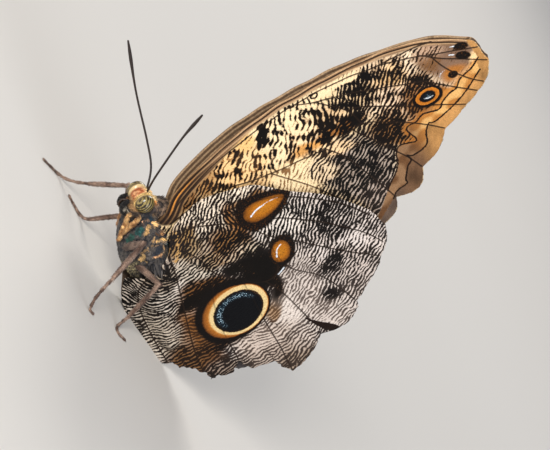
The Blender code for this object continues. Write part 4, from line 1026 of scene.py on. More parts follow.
def bodyPaint(p):
    # colour, hair length and hair direction, the chest's left side mirrored to the right
    left = p.copy()
    left[:, 1] = -np.abs(p[:, 1])
    mottle = smooth(0.42 + 0.45 * soft3(left, 0.4, 61) + 0.5 * soft3(left, 0.13, 67))
    colour = between((22, 27, 38), (102, 95, 90), mottle)
    # mottled cream and dark low on the chest's rear half, banded brown belly
    low = smooth((-(left - chestMiddle) @ chestUp - 0.4) / 2.0) * smooth((p[:, 0] - 0.5) / 1.5)
    flecks = smooth(0.5 + 1.3 * soft3(left, 0.16, 62))
    layOver(colour, between((44, 38, 34), (196, 180, 136), flecks), low)
    belly = smooth((p[:, 0] - 6.5) / 1.5)
    bands = smooth(0.5 + 1.2 * np.sin(p[:, 0] * 3.3)) * 0.5
    layOver(colour, between((150, 128, 100), (92, 74, 58), bands), belly)
    # the strokes wander a little, and the whole is broken up finely
    wander = left + 0.16 * np.stack([soft3(left, 0.3, seed) for seed in (63, 64, 65)], 1)
    for start, end, half, paint in chestStrokes:
        away = distanceTo(wander, np.array([start, end]))
        layOver(colour, paint, 1.0 - smooth((away - half + 0.1) / 0.2))
    colour *= (0.6 + 0.5 * smooth(0.5 + 1.1 * soft3(left, 0.1, 69)))[:, None]
    # head: rusty face, then a cream crown that is painted highlight, nape, chin, pale rim round each eye and
    # one orange spot
    forward, _, up = alongHead(p)
    local = p - np.array(headCentre)
    onHead = 1.0 - smooth((np.linalg.norm(local, axis=1) - 2.9) / 0.5)
    tone = between((172, 88, 44), (226, 168, 120), smooth(0.5 + 0.9 * soft3(p * [1.0, 1.6, 0.6], 0.22, 66)))
    # painted highlight: the top of the head cream
    layOver(tone, (236, 206, 150), smooth((up - 0.7) / 0.8))
    layOver(tone, (120, 96, 78), smooth((-forward - 0.6) / 0.7))
    layOver(tone, (168, 130, 88), smooth((-up - 1.3) / 0.6))
    toEye = np.min([np.linalg.norm(local - np.array(headLeft) * way * head["eyeSpread"], axis=1)
                    for way in (-1, 1)], axis=0)
    rim = (1.0 - smooth((toEye - head["eyeRadius"] - 0.1) / 0.3)) * smooth((forward + 0.5) / 0.5)
    layOver(tone, (226, 196, 130), rim)
    spot = 1.0 - smooth((distanceTo(p, np.array([(-8.5, -1.5, 18.2), (-7.9, -1.4, 17.9)])) - 0.5) / 0.25)
    layOver(tone, (234, 150, 62), spot)
    layOver(colour, tone, onHead)
    # ruff behind the head
    ruff = smooth((p[:, 2] - 15.8) / 0.9) * (1 - onHead) * smooth((-3.0 - p[:, 0]) / 1.0)
    shag = smooth(0.5 + 0.9 * soft3(p * [0.5, 1.0, 1.0], 0.16, 68))
    layOver(colour, between((54, 48, 48), (128, 106, 88), shag), ruff)
    length = 0.44 + 0.68 * smooth((p[:, 0] - 2.8) / 3.0) * (1 - belly) - 0.12 * onHead + 0.6 * ruff
    length += 0.5 * spot
    way = np.tile(chestBack, (len(p), 1))
    layOver(way, np.stack([0.35 * np.ones(len(p)), np.sign(p[:, 1]) * 0.1, 0.55 * np.sign(up)], 1), onHead)
    return colour, length, way


def bodySkin():
    shell = bmesh.new()
    for name in ("thorax", "abdomen", "head"):
        shell.from_mesh(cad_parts[name].data)
    bmesh.ops.remove_doubles(shell, verts=shell.verts, dist=1e-6)
    for x, y, z, r in body["neck"] + body["face"] + body["ruff"] + body["waist"]:
        place = Vector((x - standing["middleX"], y - standing["middleY"], z)) * mm
        bmesh.ops.create_icosphere(shell, subdivisions=3, radius=r * mm, matrix=Matrix.Translation(place))
    mesh = bpy.data.meshes.new("bodySkin")
    shell.to_mesh(mesh)
    shell.free()
    piece = linkedObject("bodySkin", mesh)
    remesh = piece.modifiers.new("oneSkin", "REMESH")
    remesh.mode, remesh.voxel_size, remesh.use_smooth_shade = "VOXEL", body["voxel"] * mm, True
    soften = piece.modifiers.new("soften", "SMOOTH")
    soften.factor, soften.iterations = 0.5, body["smoothing"]
    applyModifiers(piece)
    mesh = piece.data
    places = vertexValues(mesh, "co")
    normals = vertexValues(mesh, "normal")
    places -= normals * body["inset"] * mm
    mesh.vertices.foreach_set("co", places.ravel())
    mesh.update()
    return piece


def applyModifiers(piece):
    bpy.context.view_layer.update()
    made = bpy.data.meshes.new_from_object(piece.evaluated_get(bpy.context.evaluated_depsgraph_get()))
    piece.modifiers.clear()
    old, piece.data = piece.data, made
    made.name = piece.name
    bpy.data.meshes.remove(old)


def vertexValues(mesh, key):
    values = np.zeros(len(mesh.vertices) * 3, np.float32)
    mesh.vertices.foreach_get(key, values)
    return values.reshape(-1, 3).astype(float)


def fromChest(mesh):
    # vertices in the millimetres that sizes are given in
    return vertexValues(mesh, "co") / mm + np.array([standing["middleX"], standing["middleY"], 0.0])


def unwrapRound(piece, origin, axis, tile=(0.0, 1.0)):
    # unwraps a shape round its long axis onto one share of the picture, for baked colours
    p = fromChest(piece.data) - np.array(origin)
    axis = np.array(axis, float) / np.linalg.norm(axis)
    side = np.cross(axis, [0.0, 0.0, 1.0])
    side = side / np.linalg.norm(side) if np.linalg.norm(side) > 0.1 else np.array([0.0, 1.0, 0.0])
    turn = np.arctan2(p @ side, p @ np.cross(side, axis)) / (2 * math.pi) + 0.5
    run = p @ axis
    run = (run - run.min()) / max(np.ptp(run), 1e-9)
    layer = piece.data.uv_layers.new(name="OFBake")
    corner = np.zeros(len(piece.data.loops), np.int32)
    piece.data.loops.foreach_get("vertex_index", corner)
    u, v = turn[corner], run[corner]
    starts = np.zeros(len(piece.data.polygons), np.int32)
    sizes = np.zeros(len(piece.data.polygons), np.int32)
    piece.data.polygons.foreach_get("loop_start", starts)
    piece.data.polygons.foreach_get("loop_total", sizes)
    owner = np.repeat(np.arange(len(starts)), sizes)
    highest = np.maximum.reduceat(u, starts)
    u = np.where((highest[owner] - u) > 0.5, u + 1.0, u)
    low, high = tile
    layer.data.foreach_set("uv", np.stack([0.02 + u * 0.93, low + (high - low) * (0.02 + 0.96 * v)], 1)
                           .astype(np.float32).ravel())


# Hair: one Geometry Nodes tree plants small tufts along the lie of the coat

tuft = dict(blades=4, spread=0.13, width=0.075, thick=0.025, bend=0.12, patch=0.003)


def tuftShape():
    rng = np.random.default_rng(3)
    points, faces = [], []
    for k in range(tuft["blades"]):
        turn = 2 * math.pi * k / tuft["blades"]
        root = np.array([math.cos(turn), math.sin(turn), 0.0]) * tuft["spread"]
        lean = root * 0.6 + rng.normal(0, 0.05, 3)
        tall = 1.0 - 0.25 * rng.random()
        start = len(points)
        for t, w in ((-0.08, 0.8), (0.5, 1.0)):
            middle = root + lean * t + np.array([0.0, -tuft["bend"] * t * t, tall * t])
            for side, deep in ((-1, 0), (1, 0), (0, 1)):
                points.append(middle + np.array([side * tuft["width"] * w, deep * tuft["thick"], 0.0]))
        points.append(root + lean + np.array([0.0, -tuft["bend"], tall]))
        a, b, c, d, e, f, g = range(start, start + 7)
        faces += [(a, c, b), (a, b, e, d), (b, c, f, e), (c, a, d, f), (d, e, g), (e, f, g), (f, d, g)]
    mesh = bpy.data.meshes.new("tuftShape")
    mesh.from_pydata([tuple(p * mm) for p in points], [], faces)
    layer = mesh.uv_layers.new(name="bladePlace")
    for loop in mesh.loops:
        p = points[loop.vertex_index]
        layer.data[loop.index].uv = (0.5 + p[0] * 1.5, min(max(p[2], 0.0), 1.0))
    return linkedObject("tuftShape", mesh)


def tuftTree():
    g, given, result = startGroup(
        "plantTufts",
        {"Geometry": "Geometry", "Tuft": "Object", "Coat Material": "Material",
         "Tufts Per Square Millimetre": "Float", "Lift": "Float", "Scatter": "Float", "Seed": "Int"},
        {"Geometry": "Geometry"}, "GeometryNodeTree")

    def named(name, kind):
        return g.node("GeometryNodeInputNamedAttribute", {"Name": name}, data_type=kind).outputs["Attribute"]

    def vector(operation, a, b):
        return g.node("VectorMath", {0: a, 1: b}, operation=operation).outputs[0]

    def scaled(a, scale):
        return g.node("VectorMath", {0: a, "Scale": scale}, operation="SCALE").outputs[0]

    def random(kind, low, high, extra):
        first, second, out = (0, 1, 0) if kind == "FLOAT_VECTOR" else (2, 3, 1)
        seed = g.math("ADD", given["Seed"], float(extra))
        made = g.node("FunctionNodeRandomValue", {first: low, second: high, "Seed": seed}, data_type=kind)
        return made.outputs[out]

    def store(geometry, name, kind, domain, value):
        return g.node("GeometryNodeStoreNamedAttribute", {"Geometry": geometry, "Name": name, "Value": value},
                      data_type=kind, domain=domain).outputs["Geometry"]

    def drop(geometry, name):
        return g.node("GeometryNodeRemoveAttribute", {"Geometry": geometry, "Name": name}).outputs["Geometry"]

    # roots on the skin, where the coat's cover lets them grow
    perMetre = g.math("MULTIPLY", given["Tufts Per Square Millimetre"], 1e6)
    scatter = g.node("GeometryNodeDistributePointsOnFaces", {
        "Mesh": given["Geometry"], "Seed": given["Seed"],
        "Density": g.math("MULTIPLY", perMetre, named("hairCover", "FLOAT"))}).outputs
    points = store(scatter["Points"], "rootPlace", "FLOAT_VECTOR", "POINT", named("OFBake", "FLOAT_VECTOR"))
    points = store(points, "strand", "FLOAT", "POINT", random("FLOAT", 0.0, 1.0, 1))
    points = drop(points, "OFBake")
    # each tuft lies along the skin, lifted off it and a little astray
    normal = scatter["Normal"]
    lie = named("hairWay", "FLOAT_VECTOR")
    outward = g.node("VectorMath", {0: lie, 1: normal}, operation="DOT_PRODUCT").outputs["Value"]
    flat = g.node("VectorMath", {0: vector("SUBTRACT", lie, scaled(normal, outward))},
                  operation="NORMALIZE").outputs[0]
    loose = scaled(random("FLOAT_VECTOR", (-1.0, -1.0, -1.0), (1.0, 1.0, 1.0), 2), given["Scatter"])
    raised = vector("ADD", vector("ADD", flat, scaled(normal, given["Lift"])), loose)
    alongHair = g.node("FunctionNodeAlignRotationToVector", {"Vector": raised}, axis="Z").outputs["Rotation"]
    faceOut = g.node("FunctionNodeAlignRotationToVector", {"Rotation": alongHair, "Vector": normal}, axis="Y",
                     pivot_axis="Z").outputs["Rotation"]
    shape = g.node("GeometryNodeObjectInfo", {"Object": given["Tuft"]}).outputs["Geometry"]
    size = g.math("MULTIPLY", named("hairLength", "FLOAT"), random("FLOAT", 0.7, 1.25, 3))
    plant = g.node("GeometryNodeInstanceOnPoints", {"Points": points, "Instance": shape, "Rotation": faceOut,
                                                    "Scale": size}).outputs["Instances"]
    real = g.node("GeometryNodeRealizeInstances", {"Geometry": plant}).outputs["Geometry"]
    # a blade's own patch of the skin's picture, round its root
    patch = vector("MULTIPLY", vector("SUBTRACT", named("bladePlace", "FLOAT_VECTOR"), (0.5, 0.5, 0.0)),
                   (tuft["patch"], tuft["patch"], 0.0))
    coat = store(real, "OFBake", "FLOAT2", "CORNER", vector("ADD", named("rootPlace", "FLOAT_VECTOR"), patch))
    for name in ("rootPlace", "bladePlace", "hairWay", "hairLength", "hairCover"):
        coat = drop(coat, name)
    finish = g.node("GeometryNodeSetMaterial", {"Geometry": coat, "Material": given["Coat Material"]})
    g.feed(result["Geometry"], finish.outputs["Geometry"])
    return g.tree


# For each coat: tufts on a square millimetre, their lift off the skin, their scatter and the random start
coats = dict(
    chest=dict(perSquare=10.2, lift=0.4, scatter=0.25, seed=4),
    flank=dict(perSquare=6.0, lift=0.4, scatter=0.2, seed=7),
    shoulder=dict(perSquare=8.0, lift=0.6, scatter=0.3, seed=8),
    head=dict(perSquare=26.0, lift=0.5, scatter=0.35, seed=5),
    belly=dict(perSquare=5.0, lift=0.25, scatter=0.25, seed=6),
    leg=dict(perSquare=11.0, lift=0.35, scatter=0.22, seed=9),
    palp=dict(perSquare=30.0, lift=0.3, scatter=0.2, seed=13),
    foreleg=dict(perSquare=14.0, lift=0.35, scatter=0.25, seed=16),
)


def growCoat(name, base, coat, cover, length, way):
    # base keeps its markings as attributes, and the tufts take theirs from their roots
    ground = base.copy()
    ground.data = base.data.copy()
    bpy.context.scene.collection.objects.link(ground)
    addValues(ground, "hairCover", cover)
    addValues(ground, "hairLength", length)
    ground.data.attributes.new("hairWay", "FLOAT_VECTOR", "POINT").data.foreach_set(
        "vector", np.asarray(way, np.float32).ravel())
    modifier = ground.modifiers.new("tufts", "NODES")
    modifier.node_group = tufts
    given = {item.name: item.identifier for item in tufts.interface.items_tree if item.in_out == "INPUT"}
    settings = {"Tuft": tuftObject, "Coat Material": hairFinish, "Lift": coats[coat]["lift"],
                "Tufts Per Square Millimetre": coats[coat]["perSquare"], "Scatter": coats[coat]["scatter"],
                "Seed": coats[coat]["seed"]}
    for key, value in settings.items():
        modifier[given[key]] = value
    bpy.context.view_layer.update()
    made = bpy.data.meshes.new_from_object(ground.evaluated_get(bpy.context.evaluated_depsgraph_get()))
    bpy.data.objects.remove(ground)
    made.name = name
    tips = vertexValues(made, "co")
    tips[:, 2] = np.maximum(tips[:, 2], 0.02 * mm)  # no hair goes through the floor
    made.vertices.foreach_set("co", tips.astype(np.float32).ravel())
    coatPiece = linkedObject(name, made)
    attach(coatPiece, "root")
    print(name, len(made.polygons), "faces")


def coatMaterial(name, skin):
    material, s, surface = startMaterial(name, 0.7, Specular_IOR_Level=0.3, Sheen_Weight=0.15,
                                         Sheen_Roughness=0.5)
    if skin:
        grain = s.grained(s.colour("bodyColour"), cellsPerMetre["skin"], 0.55, 1.15)
        colour = grain["Colour"]
    else:
        grain = s.grained(s.colour("bodyColour"), cellsPerMetre["hair"], 0.85, 1.15)
        colour = s.brighten(grain["Colour"], s.value("strand"), 0.0, 1.0, 0.45, 1.6)
    s.finish(surface, colour, grain["Height"], 0.5, 0.00006)
    return material


# Tubes: legs, feelers, palps and tongue

def ringFaces(rows, sides):
    # quads between rings of points, both ends closed
    faces = []
    for a in range(0, (rows - 1) * sides, sides):
        faces += [(a + k, a + (k + 1) % sides, a + sides + (k + 1) % sides, a + sides + k)
                  for k in range(sides)]
    return faces + [tuple(range(sides - 1, -1, -1)), tuple(range((rows - 1) * sides, rows * sides))]


def podTube(path, radii, sides, flat=1.0, lowest=None):
    # a closed tube with rounded ends, as rings of points
    path = np.asarray(path, float)
    run = np.concatenate([[0.0], np.cumsum(np.linalg.norm(np.diff(path, axis=0), axis=1))])
    radii = np.interp(run / run[-1], np.linspace(0, 1, len(radii)), radii)
    ahead = np.gradient(path, axis=0)
    ahead /= np.linalg.norm(ahead, axis=1)[:, None]
    # each ring: place on the path, how far beyond it, and its share of the radius
    ends = [(0.98, 0.2), (0.75, 0.66), (0.35, 0.93)]
    order = [(0, -1, deep, share) for deep, share in ends] + [(i, 0, 0, 1.0) for i in range(len(path))]
    order += [(len(path) - 1, 1, deep, share) for deep, share in ends[::-1]]
    rows, side = [], None
    for i, way, deep, share in order:
        along = ahead[i]
        if side is None:
            side = np.cross(along, [0.0, 0.0, 1.0])
            side = side if np.linalg.norm(side) > 0.1 else np.array([0.0, 1.0, 0.0])
        side = side - along * (side @ along)
        side /= np.linalg.norm(side)
        across = np.cross(side, along)
        middle = path[i] + along * way * deep * radii[i]
        turns = 2 * math.pi * np.arange(sides) / sides
        row = middle + radii[i] * share * (np.cos(turns)[:, None] * side
                                           + flat * np.sin(turns)[:, None] * across)
        if lowest is not None:
            row[:, 2] = np.maximum(row[:, 2], lowest)
        rows.append(row)
    ways = np.concatenate([np.tile(ahead[i], (sides, 1)) for i, *_ in order])
    runs = np.concatenate([np.full(sides, run[i] + way * deep * radii[i]) for i, way, deep, _ in order])
    return np.concatenate(rows), ringFaces(len(rows), sides), ways, runs


def joinTubes(tubes):
    points, faces, ways, start = [], [], [], 0
    for p, f, w, _ in tubes:
        faces += [tuple(i + start for i in face) for face in f]
        points.append(p)
        ways.append(w)
        start += len(p)
    return np.concatenate(points), faces, np.concatenate(ways)


def outward(piece):
    shell = bmesh.new()
    shell.from_mesh(piece.data)
    bmesh.ops.recalc_face_normals(shell, faces=shell.faces)
    shell.to_mesh(piece.data)
    shell.free()


# Radii of a leg's parts from the hip down, and how flat thigh and shin are
legForm = dict(thigh=(0.76, 0.88, 0.84, 0.76, 0.66, 0.56), shin=(0.46, 0.54, 0.6, 0.62, 0.56, 0.46),
               foot=(0.36, 0.26), flat=0.86)
legs = dict(
    legMidLeft=dict(
        nodes="leg_mid_left", size=1.0,
        hip=(-1.2, -0.9, 6.9), knee=(-4.8, -8.0, 13.5), ankle=(-5.2, -15.0, 6.9),
        toes=[(-5.1, -18.4, 2.9), (-3.6, -19.0, 0.6), (-2.9, -19.0, 0.22), (-2.05, -18.8, 0.2)]),
    legHindLeft=dict(
        nodes="leg_hind_left", size=0.95,
        hip=(1.2, -0.8, 6.9), knee=(6.1, -7.5, 11.3), ankle=(9.75, -8.3, 2.25),
        toes=[(9.0, -10.4, 0.65), (8.5, -12.1, 0.22), (9.6, -12.8, 0.2), (11.8, -12.0, 0.2)]),
    legMidRight=dict(
        nodes="leg_mid_right", size=0.9,
        hip=(-1.2, 0.9, 6.9), knee=(-8.2, 8.0, 12.65), ankle=(-9.95, 12.0, 4.7),
        toes=[(-11.2, 12.5, 2.6), (-12.8, 12.5, 1.2), (-14.8, 12.5, 0.35), (-18.8, 11.1, 0.18),
              (-20.6, 10.4, 0.18)]),
    legHindRight=dict(
        nodes="leg_hind_right", size=0.95,
        hip=(1.2, 0.8, 6.9), knee=(-1.0, 7.6, 12.0), ankle=(-4.3, 8.5, 1.9),
        toes=[(-5.0, 8.8, 0.75), (-6.6, 9.3, 0.25), (-8.6, 10.0, 0.2), (-10.0, 10.6, 0.2)]),
)


def legPiece(name, leg, material, tile):
    hip, knee, ankle = (np.array(leg[key]) for key in ("hip", "knee", "ankle"))
    size = leg["size"]
    steps = np.linspace(0, 1, 9)[:, None]
    tubes = [podTube(start + (end - start) * steps, np.array(legForm[part]) * size, 14, legForm["flat"])
             for part, start, end in (("thigh", hip, knee), ("shin", knee, ankle))]
    foot = curvePoints([ankle] + leg["toes"], 0.3)
    joints = np.linspace(0, len(foot) - 1, 6).astype(int) if len(foot) > 12 else [0, len(foot) - 1]
    wide = np.interp(np.arange(len(foot)), [0, len(foot) - 1], legForm["foot"]) * size
    for a, b in zip(joints[:-1], joints[1:]):
        r = wide[a]
        tubes.append(podTube(foot[a:b + 1], [r * 0.82, r * 0.92, r * 1.08], 10, 1.0, 0.0))
    shin = (ankle - knee) / np.linalg.norm(ankle - knee)
    sideways = np.cross(shin, [0.0, 0.0, 1.0])
    sideways /= np.linalg.norm(sideways)
    for way in (-1, 1):
        spur = ankle + shin * 0.1 + sideways * way * 0.3 * size
        tip = spur + shin * 0.7 + sideways * way * 0.35
        bow = (spur + tip) / 2 + sideways * way * 0.05
        tubes.append(podTube([spur, bow, tip], [0.1, 0.07, 0.03], 6, 1.0, 0.0))
        claw = foot[-1] - foot[-4]
        claw /= np.linalg.norm(claw)
        out = np.cross(claw, [0.0, 0.0, 1.0]) * way
        a = foot[-1] + claw * 0.12 + out * 0.08
        b = a + claw * 0.26 + out * 0.12 + np.array([0, 0, 0.1])
        c = b + claw * 0.14 + out * 0.02 - np.array([0, 0, 0.12])
        tubes.append(podTube([a, b, c], [0.08, 0.06, 0.025], 6, 1.0, 0.0))
    points, faces, ways = joinTubes(tubes)
    piece = meshPiece(name, points, faces, [material])
    outward(piece)
    grey = smooth(0.5 + 0.8 * soft3(points, 0.3, 71))
    addValues(piece, "bodyColour", between((156, 130, 114), (92, 70, 60), grey))
    unwrapRound(piece, hip, knee - hip, tile)
    thick = np.where(np.arange(len(points)) < len(tubes[0][0]) + len(tubes[1][0]), 1.0, 0.5)
    growCoat(name + "Hair", piece, "leg", 0.6 + 0.4 * thick, 0.34 + 0.12 * thick, ways)
    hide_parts(*[leg["nodes"] + "_" + part for part in ("femur", "tibia", "tarsus")])
    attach(piece, "root")


def eyePiece(word, way, material):
    # rings from the eye's outermost point to its root in the head
    points, rows, sides = [], 29, 48
    for i in range(rows):
        turn = math.pi * (i + 0.001) / 28.002 if i else 0.02
        for k in range(sides):
            angle = 2 * math.pi * k / sides
            local = (head["eyeRadius"] * math.sin(turn) * math.cos(angle),
                     way * head["eyeSpread"] + head["eyeDepth"] * math.cos(turn),
                     head["eyeRadius"] * math.sin(turn) * math.sin(angle))
            points.append(tuple(headCentre + headNose * local[0] + headLeft * local[1] + headUp * local[2]))
    points = np.array(points)
    piece = meshPiece("eye" + word.title(), points, ringFaces(rows, sides), [material])
    outward(piece)
    forward, side, up = alongHead(points)
    addValues(piece, "eyeAcross", 0.5 - (0.92 * forward - 0.39 * up) / (2 * head["eyeRadius"]))
    addValues(piece, "eyeAlong", 0.5 + (0.92 * up + 0.39 * forward) / (2 * head["eyeRadius"]))
    addValues(piece, "eyeRim", (side * way - head["eyeSpread"]) / head["eyeDepth"])
    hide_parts("eye_" + word)
    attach(piece, "root")


def eyeMaterial():
    # golden olive with dark upright stripes, more broken towards the face, and a pale rim beside the head
    material, s, surface = startMaterial("eyeLens", 0.26, Specular_IOR_Level=0.5, Coat_Weight=0.3,
                                         Coat_Roughness=0.08)
    blots = s.math("SUBTRACT", s.noise(cellsPerMetre["eyeBlots"], 2.0, 0.5), 0.5)
    bow = s.math("POWER", s.math("SUBTRACT", s.value("eyeAlong"), 0.45), 2.0)
    across = s.addScaled(s.addScaled(s.value("eyeAcross"), bow, 0.3), blots, 0.09)
    stripes = s.math("SINE", s.math("MULTIPLY", across, 44.0))
    front = s.step(s.value("eyeAcross"), 0.5, 0.2)
    stripes = s.addScaled(stripes, s.math("MULTIPLY", blots, front), 9.0)
    olive = s.mix(s.step(stripes, -0.7, 1.0), linear((42, 35, 19)), linear((154, 136, 82)))
    back = s.step(s.value("eyeRim"), 0.25, -0.1)
    olive = s.mix(s.math("MULTIPLY", back, 0.8), olive, linear((116, 98, 66)))
    grain = s.grained(olive, cellsPerMetre["eye"], 0.8, 1.15)
    colour = s.mix(s.step(s.value("eyeRim"), -0.2, -0.32), grain["Colour"], linear((216, 190, 140)))
    facets = s.node("TexVoronoi", {"Scale": cellsPerMetre["eyeFacets"], "Vector": s.place()},
                    feature="DISTANCE_TO_EDGE")
    s.finish(surface, colour, facets.outputs["Distance"], 0.15, 0.00001)
    return material


def tubeMaterial(name, dark, light, roughness, ringScale, **more):
    # cuticle with fine rings along the tube, whose run is kept as an attribute
    material, s, surface = startMaterial(name, roughness, **more)
    rise = s.math("SINE", s.math("MULTIPLY", s.value("run"), ringScale))
    tone = s.mix(s.step(rise, -0.9, 1.6), linear(dark), linear(light))
    grain = s.grained(tone, cellsPerMetre["tube"], 0.5, 1.5)
    s.finish(surface, grain["Colour"], s.math("ADD", rise, grain["Height"]), 0.3, 0.00003)
    return material


def tubePiece(name, node, path, radii, material, sides=14):
    points, faces, ways, runs = podTube(curvePoints(path, 0.25), radii, sides)
    piece = meshPiece(name, points, faces, [material])
    outward(piece)
    addValues(piece, "run", runs)
    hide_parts(node)
    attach(piece, "root")
    return piece, points, ways


tufts = tuftTree()
tuftObject = tuftShape()
skinFinish, hairFinish = coatMaterial("bodySkinFinish", True), coatMaterial("bodyHairFinish", False)

skin = bodySkin()
skin.data.materials.append(skinFinish)
places = fromChest(skin.data)
colour, length, way = bodyPaint(places)
addValues(skin, "bodyColour", colour)
unwrapRound(skin, chestMiddle, chestBack)
onHead = np.linalg.norm(places - np.array(headCentre), axis=1) < head["reach"]
toEye = np.min([np.linalg.norm(places - np.array(headCentre + headLeft * s * head["eyeSpread"]), axis=1)
                for s in (-1, 1)], axis=0)
bare = toEye < head["eyeRadius"] + head["eyeMargin"]
inBelly = places[:, 0] > body["bellyFrom"]
growCoat("chestHair", skin, "chest", np.where(onHead | inBelly, 0.0, 1.0), length, way)
flank = smooth((places[:, 0] - 2.9) / 1.2) * smooth((7.0 - places[:, 0]) / 1.5) \
    * smooth((places[:, 2] - 10.5) / 1.5) * smooth((np.abs(places[:, 1]) - 1.6) / 0.8)
growCoat("flankHair", skin, "flank", flank, 1.7 + 1.6 * flank, way + [0.0, 0.0, 0.1])
shoulder = smooth((places[:, 0] + 5.6) / 0.8) * smooth((1.6 - places[:, 0]) / 1.0) \
    * smooth((places[:, 2] - 14.9) / 0.8) * smooth((np.abs(places[:, 1]) - 1.9) / 0.5) * (1.0 - onHead)
growCoat("shoulderHair", skin, "shoulder", shoulder, 0.8 + 0.7 * shoulder, way * 0.6 + [0.1, 0.0, 0.7])
growCoat("headHair", skin, "head", np.where(onHead & ~bare, 1.0, 0.0), length, way)
growCoat("bellyHair", skin, "belly", np.where(inBelly, 1.0, 0.0), length * 0.7, way)
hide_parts("thorax", "abdomen", "head")
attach(skin, "root")
print("body skin", len(skin.data.polygons), "faces")

for k, (name, leg) in enumerate(legs.items()):
    legPiece(name, leg, skinFinish, (k / 8, (k + 1) / 8))

lens = eyeMaterial()
for word, side in (("left", 1), ("right", -1)):
    eyePiece(word, side, lens)

feelerCuticle = tubeMaterial("feelerCuticle", (18, 12, 10), (52, 34, 26), 0.42, 18.0, Specular_IOR_Level=0.5)
feelerRadii = np.array([1.15] + [1.0] * 11 + [1.1, 1.35, 1.68, 1.5, 0.9]) * 0.22  # the club is at the end
feelers = dict(
    left=[(-10.3, -0.5, 17.2), (-11.15, -0.6, 18.3), (-13.9, -2.0, 21.1), (-20.3, -6.3, 27.9),
          (-24.7, -9.2, 32.9), (-29.0, -12.2, 38.6)],
    right=[(-10.4, 0.5, 16.9), (-11.1, 0.6, 18.1), (-13.8, 2.6, 20.4), (-18.2, 5.2, 21.9),
           (-27.0, 9.1, 24.3), (-36.4, 12.0, 27.7)])
for word, path in feelers.items():
    tubePiece("feeler" + word.title(), "antenna_" + word, path, feelerRadii, feelerCuticle,
              12)

palpCuticle = tubeMaterial("palpCuticle", (12, 11, 12), (70, 64, 60), 0.3, 9.0, Specular_IOR_Level=0.6)
palpBends = [(-7.9, 1.35, 13.2), (-8.5, 1.4, 12.1), (-9.6, 1.35, 11.7), (-10.6, 1.3, 12.5),
             (-10.9, 1.25, 13.5)]
for word, side, lower in (("left", -1, 0.0), ("right", 1, 0.4)):
    piece, points, ways = tubePiece("palp" + word.title(), "palp_" + word,
                                    [(x, side * y, z - lower) for x, y, z in palpBends],
                                    [0.46, 0.68, 0.7, 0.58, 0.3], palpCuticle)
    # pale grey-white patches on the palps: partly pale hair and partly painted highlight
    pale = smooth(0.5 + 1.2 * soft3(points, 0.3, 81)) * smooth((points[:, 0] + 10.4) / 0.9)
    addValues(piece, "bodyColour", between((16, 15, 17), (200, 190, 172), pale))
    unwrapRound(piece, points.mean(axis=0), (-1, 0, 1), (0.5 + side * 0.1, 0.6 + side * 0.1))
    growCoat("palpHair" + word.title(), piece, "palp", np.ones(len(points)), np.full(len(points), 0.42), ways)

tongueCuticle = tubeMaterial("tongueCuticle", (30, 19, 13), (62, 40, 26), 0.35, 30.0)
coil = [(-9.9, 0.0, 14.4)]
for i in range(12):
    turn, reach = math.radians(60 + 25 * i), 1.25 - 0.03 * i
    coil.append((-9.9 + reach * math.cos(turn), 0.0, 12.2 + reach * math.sin(turn)))
tubePiece("tongue", "proboscis", coil, [0.25, 0.25, 0.24], tongueCuticle)

# Forelegs: folded beside the chest, up to a knee below the eye and down again
forelegBends = [(-6.1, -3.7, 9.9), (-6.7, -3.7, 11.1), (-7.3, -3.7, 13.0), (-7.7, -3.5, 14.1),
                (-8.5, -3.2, 13.9), (-8.7, -2.75, 12.6), (-7.2, -2.75, 10.9), (-5.3, -2.8, 8.9),
                (-4.4, -2.4, 8.0)]
forelegRadii = (0.4, 0.5, 0.52, 0.44, 0.42, 0.48, 0.52, 0.5, 0.36)
for word, side, paler in (("left", 1, (226, 182, 122)), ("right", -1, (172, 142, 116))):
    path = [(x, y * side, z) for x, y, z in forelegBends]
    points, faces, ways, _ = podTube(curvePoints(path, 0.25), forelegRadii, 14, 0.85)
    piece = meshPiece("foreleg" + word.title(), points, faces, [skinFinish])
    outward(piece)
    colour = between((160, 112, 68), paler, smooth(0.5 + 0.7 * soft3(points, 0.22, 91)))
    layOver(colour, (60, 48, 40), smooth((points[:, 2] - 13.0) / 0.5) * smooth((-7.75 - points[:, 0]) / 0.4))
    addValues(piece, "bodyColour", colour)
    unwrapRound(piece, points.mean(axis=0), (0.3, 0, -1), (0.8, 0.88) if side > 0 else (0.9, 0.98))
    growCoat("forelegHair" + word.title(), piece, "foreleg", np.ones(len(points)), np.full(len(points), 0.55),
             ways)
    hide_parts("foreleg_" + word)
    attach(piece, "root")

bpy.data.objects.remove(tuftObject)
print("body, legs and feelers made")


# Camera, light and floor

# View sizes are millimetres and degrees; the lights, which aim at the model, and the floor are in metres
view = dict(azimuth=35.0, elevation=12.0, roll=66.0, distance=600.0, aim=(8.9, -1.0, 36.3), frameWidth=110.0,
            sensor=36.0)
lights = dict(key=dict(place=(-0.72, -0.62, 0.42), size=0.4, power=10.0, colour=(1.0, 0.96, 0.9)),
              fill=dict(place=(0.6, -0.9, 0.5), size=0.8, power=3.0, colour=(0.94, 0.97, 1.0)),
              rim=dict(place=(0.1, 0.8, 0.7), size=0.6, power=5.0, colour=(1.0, 0.97, 0.92)))
lightAim = (0.0, 0.0, 0.04)
sky = dict(colour=(0.86, 0.9, 1.0, 1.0), strength=0.4)
floor = dict(width=24.0, front=-10.0, back=4.0, rise=1.6, bend=0.8)


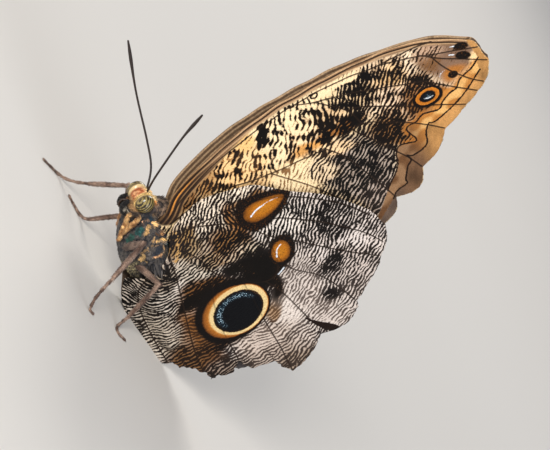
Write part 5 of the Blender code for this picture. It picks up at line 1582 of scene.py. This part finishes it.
def addCamera():
    a, e, r = (math.radians(view[key]) for key in ("azimuth", "elevation", "roll"))
    back = Vector((-math.sin(a) * math.cos(e), -math.cos(a) * math.cos(e), math.sin(e)))
    level = Vector((math.cos(a), -math.sin(a), 0.0))
    upright = back.cross(level)
    right = level * math.cos(r) + upright * math.sin(r)
    up = upright * math.cos(r) - level * math.sin(r)
    aim = Vector(view["aim"]) - Vector((standing["middleX"], standing["middleY"], 0.0))
    data = bpy.data.cameras.new("camera")
    data.sensor_width = view["sensor"]
    data.lens = view["sensor"] * view["distance"] / view["frameWidth"]
    data.clip_start, data.clip_end = 0.01, 20.0
    camera = linkedObject("camera", data)
    camera.matrix_world = Matrix.Translation((aim + back * view["distance"]) * mm) \
        @ Matrix((right, up, back)).transposed().to_4x4()
    bpy.context.scene.camera = camera


def addLight(name, place, size, power, colour):
    data = bpy.data.lights.new(name, "AREA")
    data.shape = "DISK"
    data.size, data.energy, data.color = size, power, colour
    lamp = linkedObject(name, data)
    lamp.location = place
    lamp.rotation_euler = (Vector(lightAim) - Vector(place)).to_track_quat("-Z", "Y").to_euler()


def addStage():
    # a floor that bends up into a back wall
    profile = [(floor["front"], 0.0)]
    for i in range(13):
        turn = math.pi / 2 * i / 12
        profile.append((floor["back"] - floor["bend"] + floor["bend"] * math.sin(turn),
                        floor["bend"] * (1 - math.cos(turn))))
    profile.append((floor["back"], floor["bend"] + floor["rise"]))
    points = [(side * floor["width"] / 2, y, z) for y, z in profile for side in (-1, 1)]
    faces = [(2 * i, 2 * i + 1, 2 * i + 3, 2 * i + 2) for i in range(len(profile) - 1)]
    mesh = bpy.data.meshes.new("studioFloor")
    mesh.from_pydata(points, [], faces)
    mesh.shade_smooth()
    material, s, surface = startMaterial("paleFloor", 0.75, Specular_IOR_Level=0.2)
    tone = s.mix(s.noise(cellsPerMetre["floor"], 2.0, 0.5), linear((214, 210, 204)), linear((222, 219, 214)))
    s.feed(surface.inputs["Base Color"], tone)
    mesh.materials.append(material)
    stage = linkedObject("studioFloor", mesh)


def addWorld():
    world = bpy.data.worlds.new("studio")
    world.use_nodes = True
    world.node_tree.nodes["Background"].inputs["Color"].default_value = sky["colour"]
    world.node_tree.nodes["Background"].inputs["Strength"].default_value = sky["strength"]
    bpy.context.scene.world = world


addCamera()
for name, lamp in lights.items():
    addLight(name, **lamp)
bpy.context.scene.view_settings.view_transform = "Standard"
addStage()
addWorld()
